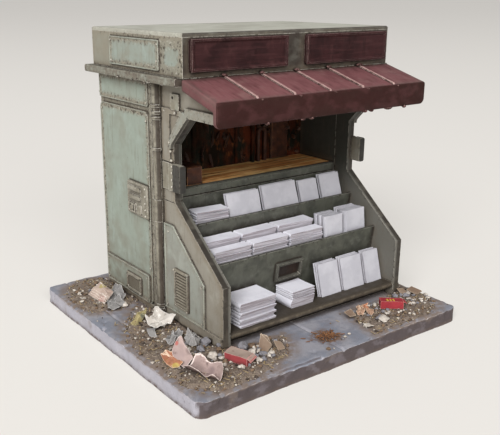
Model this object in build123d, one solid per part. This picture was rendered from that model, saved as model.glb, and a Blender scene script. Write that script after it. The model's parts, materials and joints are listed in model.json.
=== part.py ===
from build123d import *
from math import radians, tan
import os

# A tabletop miniature of a street newspaper kiosk, about 1:40, on its own scenic base plate.
# All sizes are millimetres. The kiosk is drawn with x = 0 on its middle plane, y = 0 on the front
# of its header and z = 0 under the base plate. Each piece then moves onto the plate's own centre.

# Base plate
plate_width = 78.2
plate_depth = 72.4
plate_thickness = 3.7
plate_corner_radius = 2.5
plate_edge_chamfer = 0.3
kiosk_right_of_centre = 5.4
kiosk_front_of_centre = 10.3

# Kiosk body
inner_width = 51.6
side_wall_thickness = 2.6
flank_thickness = 2.0
back_wall_thickness = 2.2
ceiling_thickness = 1.5
body_depth = 40.0
body_height = 57.3
side_wall_front = 12.0

# Header box on top of the body
header_height = 8.2
header_wall = 3.8
header_overhang = 1.6
roof_thickness = 0.8
sign_gap = 5.6
sign_end_margin = 1.5
sign_side_margin = 1.2
sign_top_margin = 0.3
sign_proud = 1.0
sign_corner_radius = 0.6
header_plate_front = 8.8
header_plate_depth = 21.9
header_plate_margin = 0.9
header_plate_proud = 0.35
drip_rail_front = 0.8
drip_rail_past_back = 2.0
drip_rail_height = 1.7
drip_rail_root_height = 1.0
drip_rail_reach = 1.5
drip_rail_rounding = 0.4

# Awning over the counter
awning_drop = 3.5
awning_reach = 12.5
awning_sheet = 2.4
awning_end_overhang = 0.5
awning_end_rounding = 0.6
valance_height = 5.1
valance_thickness = 1.4
valance_corner_radius = 1.3
awning_rib_spacing = 10.0
awning_rib_width = 0.5
awning_rib_height = 0.4
awning_rib_margin = 0.5

# Flanks, the cheek walls beside the stepped display
flank_reach = 11.0
flank_front_height = 14.5
flank_slope_top_height = 29.3
post_depth = 4.65
post_strip_depth = 3.5
flank_trim_proud = 0.35
flank_belt_height = 1.1
flank_plinth_height = 2.7
flank_plinth_proud = 0.3
door_plinth_height = 1.4
seam_width = 0.25
seam_height = 28.9

# Brackets that carry the awning, cut from flat plate
bracket_proud = 0.9
bracket_arm_width = 2.0
bracket_arm_height = 49.0
bracket_arm_back = 1.7
brace_elbow = 0.7
brace_top_width = 3.0
brace_foot_width = 2.0
brace_leg = 0.8
bracket_bend_radius = 1.4
hinge_plate_setback = 4.4
hinge_plate_width = 3.3
hinge_plate_height = 3.4
hinge_plate_proud = 0.5
hinge_hole_radius = 0.35
hinge_hole_inset = 0.85
latch_block_height = 6.2
latch_block_width = 3.2
latch_block_depth = 1.55
latch_block_foot_height = 31.9
latch_block_radius = 0.5
latch_block_proud = 0.65
latch_leaf_proud = 0.4
latch_leaf_margin = 0.3

# Raised panels on the sides
panel_radius = 1.6
panel_proud = 0.5
panel_front = 16.3
panel_back_margin = 0.4
door_panel_height = 47.0
upper_panel_gap = 1.2
upper_panel_height = 6.1
panel_edge_rounding = 0.25
access_panel_front_margin = 1.0
access_panel_back_margin = 0.9
access_panel_foot = 1.7
access_panel_height = 7.1
access_panel_proud = 0.4
access_panel_radius = 0.4
door_vent_front = 20.7
door_vent_depth = 7.4
door_vent_foot = 2.4
door_vent_height = 4.7
door_vent_rim = 1.0
door_vent_louvres = 6
flank_panel_proud = 0.4
flank_panel_front_height = 13.1
flank_panel_top_height = 23.7
flank_panel_shoulder = 7.6
flank_panel_front = 4.6
flank_panel_back_gap = 0.3
flank_vent_front = 1.3
flank_vent_depth = 6.0
flank_vent_foot = 4.3
flank_vent_height = 9.6
flank_vent_rim = 1.3
flank_vent_louvres = 11
vent_frame_proud = 0.5
vent_frame_radius = 0.3
louvre_blade = 0.22
louvre_tilt = 35.0
louvre_reach_share = 0.8

# Lock box on the door, a lid with two bars over a round button and a cover
lock_box_front = 16.9
lock_box_depth = 8.8
lock_box_height = 7.3
lock_box_foot = 23.2
lock_box_proud = 0.6
lock_box_radius = 0.5
lock_relief = 0.4
lock_column = 2.2
lock_bar_height = 0.8
lock_bar_levels = (4.5, 5.7)
lock_cover_size = 3.0
lock_button_radius = 0.85

# Round conduit in the corner between flank and side wall
conduit_radius = 1.2
conduit_setback = 13.05
collar_extra_radius = 0.25
collar_height = 0.6
collar_heights = (1.5, 2.6, 40.3, 47.3, 48.5, 50.0)
sleeve_extra_radius = 0.15
sleeve_foot_height = 23.7
corner_strip_front = 14.75
corner_strip_width = 0.95
corner_strip_proud = 0.5

# Counter and what stands behind it
counter_height = 30.6
rail_height = 2.1
rail_depth = 1.6
counter_board_thickness = 1.2
counter_board_below_rail = 0.1
back_board_front = 26.0
back_board_thickness = 1.2
cash_box_width = 4.2
cash_box_depth = 7.0
cash_box_height = 4.4
cash_box_left = 20.1
cash_box_gap = 0.4
fitting_edge = 0.3
pipe_radius = 0.55
pipe_pair_left = 10.3
pipe_pair_spacing = 2.2
pipe_top_height = 39.3
pipe_bend_share = 0.45
cabinet_left = 14.6
cabinet_width = 6.0
cabinet_height = 11.5
cabinet_proud = 0.8
beam_place = 8.4
beam_width = 0.9

# Stepped display
tier_sheet = 0.8
upper_shelf_height = 21.5
middle_shelf_height = 14.5
lower_shelf_height = 3.3
tier_lip_height = 2.0
upper_lip_front = 5.4
middle_lip_front = 3.5
lower_lip_front = 10.8
riser_lean_angle = 8.5
lower_shelf_thickness = 1.5
lower_shelf_nose_share = 0.49
kick_board_setback = 2.6
kick_board_thickness = 1.0
price_frame_width = 8.4
price_frame_height = 4.9
price_frame_bar = 1.0
price_frame_proud = 0.9
price_frame_place = -2.6
price_frame_top = 3.3

# Papers for sale. A span is the left and right side of each pile or pack, seen from the front.
sheet_thickness = 0.9
sheet_shift = 0.25
paper_clearance = 0.3
thin_pack = 0.9
thick_pack = 4.6
top_pile_span = (-22.0, -13.2)
top_pile_depth = 4.2
top_pile_height = 4.3
top_pile_turn = -4.0
top_display_spans = ((-13.0, -2.8), (-2.2, 9.2), (9.8, 16.4), (17.0, 24.4))
top_display_heights = (7.1, 7.5, 7.0, 7.6)
top_display_lean = 18.0
front_pile_spans = ((-23.6, -13.0), (-12.7, -1.9), (-1.5, 9.3))
front_pile_depth = 3.0
front_pile_height = 4.6
back_pile_spans = ((-23.4, -13.8), (-13.3, -2.7), (-2.3, 9.2))
back_pile_depth = 4.1
back_pile_height = 6.0
middle_display_spans = ((9.8, 16.0), (16.9, 23.9))
middle_display_heights = (7.2, 7.2)
middle_display_lean = 5.0
lower_left_pile_span = (-22.35, -11.85)
lower_left_pile_depth = 7.6
lower_left_pile_height = 6.0
lower_right_pile_span = (-6.05, 1.25)
lower_right_pile_depth = 6.3
lower_right_pile_height = 4.3
lower_pile_turn = 1.0
lower_pile_setback = 0.4
lower_right_pile_setback = 2.0
lower_display_spans = ((4.1, 10.9), (11.5, 18.9), (19.5, 25.2))
lower_display_heights = (8.4, 8.4, 8.4)
lower_display_setback = 3.2
lower_display_lean = 15.0

# Plate clutter
bed_height = 0.6
bed_edge_margin = 0.8
litter_box_length = 5.6
litter_box_width = 2.8
litter_box_height = 2.0
litter_box_radius = 0.3
litter_box_turns = (-70.0, -38.0)
litter_box_setback = 6.0
litter_box_inset = 7.2

# Crumpled sheets on the left margin: share of the margin from the kiosk's side, distance from
# the plate's front edge, width, length, height and turn
crumpled_sheets = (
    (0.57, 12.0, 6.0, 12.0, 4.0, 12.0),
    (0.29, 22.3, 5.0, 5.5, 2.4, -20.0),
    (0.32, 33.9, 5.5, 8.0, 2.8, 10.0),
    (0.42, 54.4, 5.5, 9.0, 2.8, 8.0),
)
crumpled_crown_share = 0.5
crumpled_twist = 30.0

ground = plate_thickness
inner_half = inner_width / 2
wall_outer = inner_half + side_wall_thickness
flank_outer = inner_half + flank_thickness
body_top = ground + body_height
header_half = wall_outer + header_overhang
header_top = body_top + header_height
door_face = wall_outer + panel_proud
post_front = side_wall_front - post_depth
counter_top_level = ground + counter_height
rail_back = side_wall_front + rail_depth
plate_left = -kiosk_right_of_centre - plate_width / 2
plate_front = kiosk_front_of_centre - plate_depth / 2


def block(x_span, y_span, z_span):
    """A box between two planes on each axis."""
    size = [span[1] - span[0] for span in (x_span, y_span, z_span)]
    corner = Pos(x_span[0], y_span[0], z_span[0])
    return corner * Box(*size, align=(Align.MIN, Align.MIN, Align.MIN))


def side_plate(outline_points, x_from, x_to):
    """A plate with its outline, given as (y, z) points, drawn in the side view."""
    outline = make_face(Polyline(*[(x_from, y, z) for y, z in outline_points], close=True))
    return extrude(outline, amount=x_to - x_from, dir=(1, 0, 0))


def raised_panel(y_span, z_span, x_face, proud, radius, rounding=0.0):
    """A flat panel with round corners that stands proud of the left face x = -x_face."""
    centre = (-x_face, sum(y_span) / 2, sum(z_span) / 2)
    facing_left = Plane(origin=centre, x_dir=(0, -1, 0), z_dir=(-1, 0, 0))
    size = (y_span[1] - y_span[0], z_span[1] - z_span[0])
    panel = extrude(facing_left * RectangleRounded(*size, radius), amount=proud)
    if rounding:
        panel = fillet(panel.faces().sort_by(Axis.X)[0].edges(), rounding)
    return panel


def write(name, shape):
    """Move a finished piece onto the centre of the base plate and write it."""
    placed = Pos(kiosk_right_of_centre, -kiosk_front_of_centre, 0) * shape
    export_step(placed, f"parts/{name}.step")


def write_pair(name, left_shape):
    """Write a left piece and its mirror image on the right."""
    write(f"left_{name}", left_shape)
    write(f"right_{name}", mirror(left_shape, about=Plane.YZ))


def write_both(name, left_shape):
    """Write a small left piece and its mirror image as one set."""
    write(name, Compound([left_shape, mirror(left_shape, about=Plane.YZ)]))


# Base plate with round corners and a broken top edge
plate_centre = Pos(-kiosk_right_of_centre, kiosk_front_of_centre, 0)
plate_outline = plate_centre * RectangleRounded(plate_width, plate_depth, plate_corner_radius)
base_plate = extrude(plate_outline, amount=plate_thickness)
base_plate = chamfer(base_plate.faces().sort_by(Axis.Z)[-1].edges(), plate_edge_chamfer)
write("base_plate", base_plate)

# Body shell
left_wall = block((-wall_outer, -inner_half), (side_wall_front, body_depth), (ground, body_top))
write_pair("wall", left_wall)
back_wall_front = body_depth - back_wall_thickness
back_wall = block((-inner_half, inner_half), (back_wall_front, body_depth), (ground, body_top))
write("back_wall", back_wall)
ceiling_span = (body_top - ceiling_thickness, body_top)
ceiling = block((-inner_half, inner_half), (0, back_wall_front), ceiling_span)
write("ceiling", ceiling)

# Header, a ring of fascia boards under a thin roof plate
header_ring = block((-header_half, header_half), (0, body_depth), (body_top, header_top))
header_hollow_half = header_half - header_wall
header_ring -= block(
    (-header_hollow_half, header_hollow_half),
    (header_wall, body_depth - header_wall),
    (body_top, header_top),
)
write("header_fascia", header_ring)
roof_span = (header_top, header_top + roof_thickness)
roof_plate = block((-header_half, header_half), (0, body_depth), roof_span)
roof_plate = chamfer(roof_plate.faces().sort_by(Axis.Z)[-1].edges(), roof_thickness / 3)
write("roof_plate", roof_plate)

# Sign panels on the header's front, blank
sign_width = header_half - sign_end_margin - sign_gap / 2
sign_height = header_height - sign_side_margin - sign_top_margin
sign_centre = (-(sign_gap + sign_width) / 2, 0, body_top + sign_side_margin + sign_height / 2)
sign_plane = Plane(origin=sign_centre, x_dir=(1, 0, 0), z_dir=(0, -1, 0))
sign_outline = sign_plane * RectangleRounded(sign_width, sign_height, sign_corner_radius)
sign_panel = extrude(sign_outline, amount=sign_proud)
sign_panel = chamfer(sign_panel.faces().sort_by(Axis.Y)[0].edges(), sign_proud / 4)
write_pair("sign_panel", sign_panel)

header_side_plate = raised_panel(
    (header_plate_front, header_plate_front + header_plate_depth),
    (body_top + header_plate_margin, header_top - header_plate_margin),
    header_half,
    header_plate_proud,
    header_plate_proud,
)
write_both("header_side_plates", header_side_plate)

# Drip rail under the header's side overhang
rail_face = header_half + drip_rail_reach
drip_outline = make_face(Polyline(
    (-wall_outer, drip_rail_front, body_top),
    (-rail_face, drip_rail_front, body_top),
    (-rail_face, drip_rail_front, body_top - drip_rail_height),
    (-header_half, drip_rail_front, body_top - drip_rail_height),
    (-wall_outer, drip_rail_front, body_top - drip_rail_root_height),
    close=True,
))
drip_length = body_depth + drip_rail_past_back - drip_rail_front
drip_rail = extrude(drip_outline, amount=drip_length, dir=(0, 1, 0))
drip_rail = fillet(drip_rail.edges().filter_by(Axis.Y).group_by(Axis.X)[0], drip_rail_rounding)
write_pair("drip_rail", drip_rail)

# Awning, one bent sheet whose front edge hangs down as a valance
awning_half = header_half + awning_end_overhang
fold_level = body_top - awning_drop
valance_foot = fold_level - valance_height
awning_front = -awning_reach
valance_back = awning_front + valance_thickness
sheet_fall = awning_drop / awning_reach
canopy = side_plate(
    [
        (0, body_top),
        (awning_front, fold_level),
        (awning_front, valance_foot),
        (valance_back, valance_foot),
        (valance_back, fold_level + valance_thickness * sheet_fall - awning_sheet),
        (0, body_top - awning_sheet),
    ],
    -awning_half,
    awning_half,
)
slope_face = canopy.faces().sort_by(Axis.Z)[-1]
canopy = fillet(slope_face.edges().group_by(SortBy.LENGTH)[0], awning_end_rounding)
valance_corners = canopy.edges().filter_by(Axis.Y).group_by(Axis.Z)[0]
canopy = fillet(valance_corners, valance_corner_radius)
write("awning_canopy", canopy)

# Ribs that run down the awning's slope
rib_front = awning_front + awning_rib_margin
rib_top = body_top - awning_rib_margin * sheet_fall
rib_foot = fold_level + awning_rib_margin * sheet_fall
rib_outline = [
    (-awning_rib_margin, rib_top),
    (rib_front, rib_foot),
    (rib_front + awning_rib_height / 2, rib_foot + awning_rib_height),
    (-awning_rib_margin, rib_top + awning_rib_height),
]
rib = side_plate(rib_outline, -awning_rib_width / 2, awning_rib_width / 2)
rib_count = int((awning_half - awning_end_rounding - awning_rib_width) / awning_rib_spacing)
rib_places = [awning_rib_spacing * step for step in range(-rib_count, rib_count + 1)]
awning_ribs = Compound([Pos(place, 0, 0) * rib for place in rib_places])
write("awning_ribs", awning_ribs)

# Flanks. The outline follows the bracket's lower edge up to the awning.
arm_foot = ground + bracket_arm_height
arm_top = arm_foot + bracket_arm_width
knee_level = arm_foot - (post_front - brace_elbow)
flank_slope_top = ground + flank_slope_top_height
awning_soffit_at_valance = fold_level + valance_thickness * sheet_fall - awning_sheet
flank_outline = [
    (side_wall_front, ground),
    (-flank_reach, ground),
    (-flank_reach, ground + flank_front_height),
    (post_front, flank_slope_top),
    (post_front, knee_level),
    (brace_elbow, arm_foot),
    (valance_back, arm_foot),
    (valance_back, awning_soffit_at_valance),
    (0, body_top - awning_sheet),
    (0, body_top),
    (side_wall_front, body_top),
]
left_flank = side_plate(flank_outline, -flank_outer, -inner_half)

# Flank trim: a plinth, a strip up the post and a belt out to the bracket, over an open seam
latch_foot = ground + latch_block_foot_height
latch_levels = (latch_foot, latch_foot + latch_block_height)
trim_face = flank_outer + flank_trim_proud
plinth_top = ground + flank_plinth_height
post_strip_span = (side_wall_front - post_strip_depth, side_wall_front)
post_strip_levels = (latch_levels[1] + latch_leaf_margin, arm_foot)
left_flank += block(
    (-flank_outer - flank_plinth_proud, -flank_outer), (-flank_reach, side_wall_front), (ground, plinth_top)
)
left_flank += block((-trim_face, -flank_outer), post_strip_span, post_strip_levels)
belt_levels = (arm_foot, arm_foot + flank_belt_height)
left_flank += block((-trim_face, -flank_outer), (brace_elbow + brace_top_width, side_wall_front), belt_levels)
seam_levels = (ground + seam_height, ground + seam_height + seam_width)
left_flank -= block((-flank_outer, -flank_outer + seam_width), (post_front, side_wall_front), seam_levels)
write_pair("flank", left_flank)

# Bracket, one flat plate: the arm, the brace that narrows downwards and a short leg on the post
leg_foot = knee_level - brace_leg
leg_back = post_front + brace_foot_width / 2
bracket = side_plate(
    [
        (valance_back, arm_foot),
        (brace_elbow, arm_foot),
        (post_front, knee_level),
        (post_front, leg_foot),
        (leg_back, leg_foot),
        (leg_back, knee_level + brace_foot_width / 2),
        (brace_elbow + brace_top_width, arm_foot),
        (brace_elbow + brace_top_width, arm_foot + flank_belt_height),
        (bracket_arm_back, arm_foot + flank_belt_height),
        (bracket_arm_back, arm_top),
        (valance_back, arm_top),
    ],
    -flank_outer - bracket_proud,
    -flank_outer,
)
bend_edges = [
    edge
    for edge in bracket.edges().filter_by(Axis.X)
    if (edge.center() - Vector(edge.center().X, brace_elbow, arm_foot)).length < seam_width
    or (edge.center() - Vector(edge.center().X, post_front, knee_level)).length < seam_width
]
bracket = fillet(bend_edges, bracket_bend_radius)
write_pair("awning_bracket", bracket)

hinge_span = (hinge_plate_setback, hinge_plate_setback + hinge_plate_width)
hinge_levels = (belt_levels[1], belt_levels[1] + hinge_plate_height)
hinge_plate = raised_panel(hinge_span, hinge_levels, flank_outer, hinge_plate_proud, panel_edge_rounding)
hole_centre = (-flank_outer, hinge_span[1] - hinge_hole_inset, hinge_levels[1] - hinge_hole_inset)
hole_axis = Plane(origin=hole_centre, z_dir=(-1, 0, 0))
hinge_plate -= extrude(hole_axis * Circle(hinge_hole_radius), amount=hinge_plate_proud)
write_both("hinge_plates", hinge_plate)

# Latch block at the front edge of the post, with its leaf on the post's side
latch_outer = flank_outer + latch_block_proud
latch_front = post_front - latch_block_width
latch_block = block((-latch_outer, -latch_outer + latch_block_depth), (latch_front, post_front), latch_levels)
latch_block = fillet(latch_block.edges().filter_by(Axis.Y), latch_block_radius)
leaf_span = (post_front, side_wall_front - latch_leaf_margin)
latch_block += raised_panel(leaf_span, latch_levels, flank_outer, latch_leaf_proud, panel_edge_rounding)
latch_block += block(
    (-latch_outer, -flank_outer), (post_front, post_front + latch_block_depth), latch_levels
)
write_both("latch_blocks", latch_block)


# Louvred vents
def louvre_vent(y_span, z_span, x_face, opening_depth, rim, blade_count):
    """A frame on the left face x = -x_face with tilted blades across its opening."""
    frame = raised_panel(y_span, z_span, x_face, vent_frame_proud, vent_frame_radius)
    hole_y = (y_span[0] + rim, y_span[1] - rim)
    hole_z = (z_span[0] + rim, z_span[1] - rim)
    vent_face = x_face + vent_frame_proud
    opening = block((-vent_face, -x_face), hole_y, hole_z)
    frame -= opening
    pitch = (hole_z[1] - hole_z[0]) / (blade_count + 1)
    blade_reach = (vent_face - x_face + opening_depth) * louvre_reach_share
    blade_middle = -(vent_face + x_face - opening_depth) / 2
    for step in range(1, blade_count + 1):
        blade = Box(blade_reach, hole_y[1] - hole_y[0], louvre_blade)
        level = hole_z[0] + pitch * step
        frame += Pos(blade_middle, sum(hole_y) / 2, level) * Rot(0, -louvre_tilt, 0) * blade
    return frame, (hole_y, hole_z)


# Door panel with the access panel and its vent
panel_span = (panel_front, body_depth - panel_back_margin)
door_foot = ground + door_plinth_height
door_levels = (door_foot, door_foot + door_panel_height)
door_panel = raised_panel(
    panel_span, door_levels, wall_outer, panel_proud, panel_radius, panel_edge_rounding
)
door_panel += raised_panel(panel_span, (ground, door_foot), wall_outer, panel_proud, panel_edge_rounding)
write_pair("door_panel", door_panel)
upper_foot = door_levels[1] + upper_panel_gap
upper_levels = (upper_foot, upper_foot + upper_panel_height)
upper_panel = raised_panel(
    panel_span, upper_levels, wall_outer, panel_proud, panel_radius / 2, panel_edge_rounding
)
write_pair("upper_panel", upper_panel)

access_span = (panel_span[0] + access_panel_front_margin, panel_span[1] - access_panel_back_margin)
access_foot = ground + access_panel_foot
access_levels = (access_foot, access_foot + access_panel_height)
access_panel = raised_panel(
    access_span, access_levels, door_face, access_panel_proud, access_panel_radius, panel_edge_rounding
)
door_vent, door_hole = louvre_vent(
    (door_vent_front, door_vent_front + door_vent_depth),
    (ground + door_vent_foot, ground + door_vent_foot + door_vent_height),
    door_face + access_panel_proud,
    access_panel_proud,
    door_vent_rim,
    door_vent_louvres,
)
access_panel -= block((-door_face - access_panel_proud, -door_face), *door_hole)
write_pair("access_panel", access_panel)
write_pair("door_vent", door_vent)

# Raised flank panel with a sloping edge beside the display, and its vent
flank_panel_back = conduit_setback - conduit_radius - flank_panel_back_gap
flank_panel_outline = [
    (flank_panel_back, plinth_top),
    (-flank_panel_front, plinth_top),
    (-flank_panel_front, ground + flank_panel_front_height),
    (flank_panel_shoulder, ground + flank_panel_top_height),
    (flank_panel_back, ground + flank_panel_top_height),
]
flank_panel = side_plate(flank_panel_outline, -flank_outer - flank_panel_proud, -flank_outer)
flank_panel = fillet(flank_panel.faces().sort_by(Axis.X)[0].edges(), panel_edge_rounding)
flank_vent, flank_hole = louvre_vent(
    (flank_vent_front, flank_vent_front + flank_vent_depth),
    (ground + flank_vent_foot, ground + flank_vent_foot + flank_vent_height),
    flank_outer + flank_panel_proud,
    flank_panel_proud,
    flank_vent_rim,
    flank_vent_louvres,
)
flank_panel -= block((-flank_outer - flank_panel_proud, -flank_outer), *flank_hole)
write_pair("flank_panel", flank_panel)
write_pair("flank_vent", flank_vent)

# Lock box on the left door. Its column, bars and cover stand in relief.
lock_y = (lock_box_front, lock_box_front + lock_box_depth)
lock_z = (ground + lock_box_foot, ground + lock_box_foot + lock_box_height)
lock_box = raised_panel(lock_y, lock_z, door_face, lock_box_proud, lock_box_radius, panel_edge_rounding)
lock_face = door_face + lock_box_proud
lock_edge = lock_box_radius
column_back = lock_y[0] + lock_column
column_span = (lock_y[0] + lock_edge, column_back)
relief_levels = (lock_z[0] + lock_edge, lock_z[1] - lock_edge)
lock_box += raised_panel(column_span, relief_levels, lock_face, lock_relief, panel_edge_rounding)
bar_span = (column_back + lock_edge, lock_y[1] - lock_edge)
for level in lock_bar_levels:
    bar_levels = (lock_z[0] + level, lock_z[0] + level + lock_bar_height)
    lock_box += raised_panel(bar_span, bar_levels, lock_face, lock_relief, panel_edge_rounding)
cover_span = (column_back + lock_edge, column_back + lock_edge + lock_cover_size)
cover_levels = (lock_z[0] + lock_edge, lock_z[0] + lock_edge + lock_cover_size)
lock_box += raised_panel(cover_span, cover_levels, lock_face, lock_relief, lock_box_radius)
button_centre = (-lock_face - lock_relief, sum(cover_span) / 2, sum(cover_levels) / 2)
button_plane = Plane(origin=button_centre, z_dir=(-1, 0, 0))
lock_box += extrude(button_plane * Circle(lock_button_radius), amount=lock_relief)
write("lock_box", lock_box)

# Conduit, a half-round tube with a sleeve and collars, and the cover strip behind it
conduit_axis = Plane(origin=(-wall_outer, conduit_setback, ground))
conduit = extrude(conduit_axis * Circle(conduit_radius), amount=body_height - drip_rail_height)
collar = extrude(conduit_axis * Circle(conduit_radius + collar_extra_radius), amount=collar_height)
for height in collar_heights:
    conduit += Pos(0, 0, height) * collar
sleeve_length = seam_height - sleeve_foot_height
sleeve = extrude(conduit_axis * Circle(conduit_radius + sleeve_extra_radius), amount=sleeve_length)
conduit += Pos(0, 0, sleeve_foot_height) * sleeve
wall_side = block((-wall_outer, 0), (0, body_depth), (ground, body_top))
conduit -= wall_side
conduit -= block((-flank_outer, 0), (0, body_depth), (ground, body_top))
write_pair("conduit", conduit)
strip_span = (corner_strip_front, corner_strip_front + corner_strip_width)
strip_levels = (ground, body_top - drip_rail_height)
corner_strip = block((-wall_outer - corner_strip_proud, -wall_outer), strip_span, strip_levels)
write_both("corner_strips", corner_strip)

# Counter rail, counter board and the riser below them
inside = (-inner_half, inner_half)
rail_levels = (counter_top_level - rail_height, counter_top_level)
counter_rail = block(inside, (side_wall_front, rail_back), rail_levels)
counter_rail = chamfer(counter_rail.edges().filter_by(Axis.X).group_by(Axis.Y)[0], fitting_edge)
write("counter_rail", counter_rail)
board_top = counter_top_level - counter_board_below_rail
board_levels = (board_top - counter_board_thickness, board_top)
counter_board = block(inside, (rail_back, back_wall_front), board_levels)
write("counter_board", counter_board)
riser_lean = tan(radians(riser_lean_angle))
upper_shelf = ground + upper_shelf_height
middle_shelf = ground + middle_shelf_height
lower_shelf = ground + lower_shelf_height
riser_span = (side_wall_front, side_wall_front + tier_sheet)
counter_riser = block(inside, riser_span, (upper_shelf - tier_sheet, rail_levels[0]))
write("counter_riser", counter_riser)

# Interior back board with the pipes, beam and cabinet on it
back_board_span = (back_board_front, back_board_front + back_board_thickness)
back_board = block(inside, back_board_span, (board_top, ceiling_span[0]))
back_board += block(
    (beam_place - beam_width / 2, beam_place + beam_width / 2),
    (back_board_front - beam_width, back_board_front),
    (board_top, ceiling_span[0]),
)
write("back_board", back_board)
pipe_line = back_board_front - pipe_radius
pipe_right = pipe_pair_left + pipe_pair_spacing
pipe_top = ground + pipe_top_height
pipe_path = FilletPolyline(
    (pipe_pair_left, pipe_line, board_top),
    (pipe_pair_left, pipe_line, pipe_top),
    (pipe_right, pipe_line, pipe_top),
    (pipe_right, pipe_line, board_top),
    radius=pipe_pair_spacing * pipe_bend_share,
)
pipe_section = Plane(origin=pipe_path @ 0, z_dir=pipe_path % 0) * Circle(pipe_radius)
interior_pipes = sweep(pipe_section, path=pipe_path)
write("interior_pipes", interior_pipes)
cabinet_span = (back_board_front - cabinet_proud, back_board_front)
cabinet = block((cabinet_left, cabinet_left + cabinet_width), cabinet_span, (board_top, board_top + cabinet_height))
cabinet = chamfer(cabinet.faces().sort_by(Axis.Y)[0].edges(), fitting_edge)
write("wall_cabinet", cabinet)
cash_box_span = (rail_back + cash_box_gap, rail_back + cash_box_gap + cash_box_depth)
cash_box_sides = (-cash_box_left, -cash_box_left + cash_box_width)
cash_box = block(cash_box_sides, cash_box_span, (board_top, board_top + cash_box_height))
cash_box = chamfer(cash_box.faces().sort_by(Axis.Z)[-1].edges(), fitting_edge)
write("cash_box", cash_box)


# Stepped display, each tier one bent sheet: lip, leaning riser and shelf
def tier(lip_front, shelf, shelf_back, riser_foot):
    """A tier whose riser leans back on its way down to the next shelf."""
    lip_top = shelf + tier_lip_height
    foot_front = lip_front + (lip_top - riser_foot) * riser_lean
    lean_at_shelf = tier_lip_height * riser_lean
    return side_plate(
        [
            (lip_front, lip_top),
            (foot_front, riser_foot),
            (foot_front + tier_sheet, riser_foot),
            (lip_front + lean_at_shelf + tier_sheet, shelf - tier_sheet),
            (shelf_back, shelf - tier_sheet),
            (shelf_back, shelf),
            (lip_front + lean_at_shelf + tier_sheet, shelf),
            (lip_front + tier_sheet, lip_top),
        ],
        *inside,
    )


upper_tier = tier(upper_lip_front, upper_shelf, side_wall_front, middle_shelf)
write("upper_tier", upper_tier)
middle_back = upper_lip_front + (upper_shelf + tier_lip_height - middle_shelf) * riser_lean
middle_tier = tier(-middle_lip_front, middle_shelf, middle_back, lower_shelf)
write("middle_tier", middle_tier)
riser_drop = middle_shelf + tier_lip_height - lower_shelf
lower_back = -middle_lip_front + riser_drop * riser_lean
lower_levels = (lower_shelf - lower_shelf_thickness, lower_shelf)
lower_tier = block(inside, (-lower_lip_front, lower_back), lower_levels)
nose_radius = lower_shelf_thickness * lower_shelf_nose_share
lower_tier = fillet(lower_tier.faces().sort_by(Axis.Y)[0].edges().filter_by(Axis.X), nose_radius)
write("lower_tier", lower_tier)
kick_front = -lower_lip_front + kick_board_setback
kick_span = (kick_front, kick_front + kick_board_thickness)
kick_board = block(inside, kick_span, (ground, lower_levels[0]))
write("kick_board", kick_board)

# Small price frame on the leaning riser of the middle tier
frame_origin = Pos(price_frame_place, -middle_lip_front, middle_shelf + tier_lip_height)
frame_on_riser = frame_origin * Rot(riser_lean_angle, 0, 0)
frame_bars = Pos(0, 0, -price_frame_top - price_frame_height / 2) * Box(
    price_frame_width, price_frame_proud, price_frame_height, align=(Align.CENTER, Align.MAX, Align.CENTER)
)
frame_bars = fillet(frame_bars.faces().sort_by(Axis.Y)[0].edges(), fitting_edge)
window_size = (price_frame_width - 2 * price_frame_bar, 3 * price_frame_proud)
frame_window = Pos(0, 0, -price_frame_top - price_frame_height / 2) * Box(
    *window_size, price_frame_height - 2 * price_frame_bar
)
write("price_frame", frame_on_riser * (frame_bars - frame_window))


# Papers: flat piles of sheets, and packs that lean back against the riser
def pile(width, depth, height, turn=0.0):
    """A pile of bundles, each a little out of line with the one below."""
    count = max(1, round(height / sheet_thickness))
    layer = height / count
    stack = None
    for step in range(count):
        shift = sheet_shift if step % 2 else -sheet_shift
        bundle = Pos(shift / 2, shift, layer * step) * Box(
            width - abs(shift), depth - abs(shift), layer, align=(Align.CENTER, Align.CENTER, Align.MIN)
        )
        stack = bundle if stack is None else stack + bundle
    return Rot(0, 0, turn) * stack


def leaning_pack(width, height, thickness, lean):
    """A pack that stands on its lower front edge and leans back."""
    pack = Box(width, thickness, height, align=(Align.CENTER, Align.MIN, Align.MIN))
    return Rot(-lean, 0, 0) * pack


def leaning_row(spans, heights, shelf, front, thickness, lean):
    """Leaning packs along a shelf, each with its own span and height."""
    packs = []
    for (left, right), height in zip(spans, heights):
        pack = leaning_pack(right - left, height, thickness, lean)
        lifted = shelf - pack.bounding_box().min.Z
        packs.append(Pos((left + right) / 2, front, lifted) * pack)
    return Compound(packs)


def pile_row(spans, shelf, front, depth, height, turn=0.0):
    """Piles side by side along a shelf."""
    piles = []
    for left, right in spans:
        stack = pile(right - left, depth, height, turn)
        piles.append(Pos((left + right) / 2, front + depth / 2, shelf) * stack)
    return Compound(piles)


lip_depth = tier_lip_height * riser_lean + tier_sheet + paper_clearance
upper_front = upper_lip_front + lip_depth
middle_front = -middle_lip_front + lip_depth
top_pile = pile_row(
    [top_pile_span],
    upper_shelf,
    upper_front + paper_clearance,
    top_pile_depth,
    top_pile_height,
    top_pile_turn,
)
write("top_pile", top_pile)
top_display = leaning_row(
    top_display_spans, top_display_heights, upper_shelf, upper_front, thin_pack, top_display_lean
)
write("top_display", top_display)
middle_piles_front = pile_row(
    front_pile_spans, middle_shelf, middle_front, front_pile_depth, front_pile_height
)
write("middle_piles_front", middle_piles_front)
second_row_front = middle_front + front_pile_depth + paper_clearance
middle_piles_back = pile_row(
    back_pile_spans, middle_shelf, second_row_front, back_pile_depth, back_pile_height
)
write("middle_piles_back", middle_piles_back)
middle_display = leaning_row(
    middle_display_spans,
    middle_display_heights,
    middle_shelf,
    middle_front,
    thick_pack,
    middle_display_lean,
)
write("middle_display", middle_display)
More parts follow.
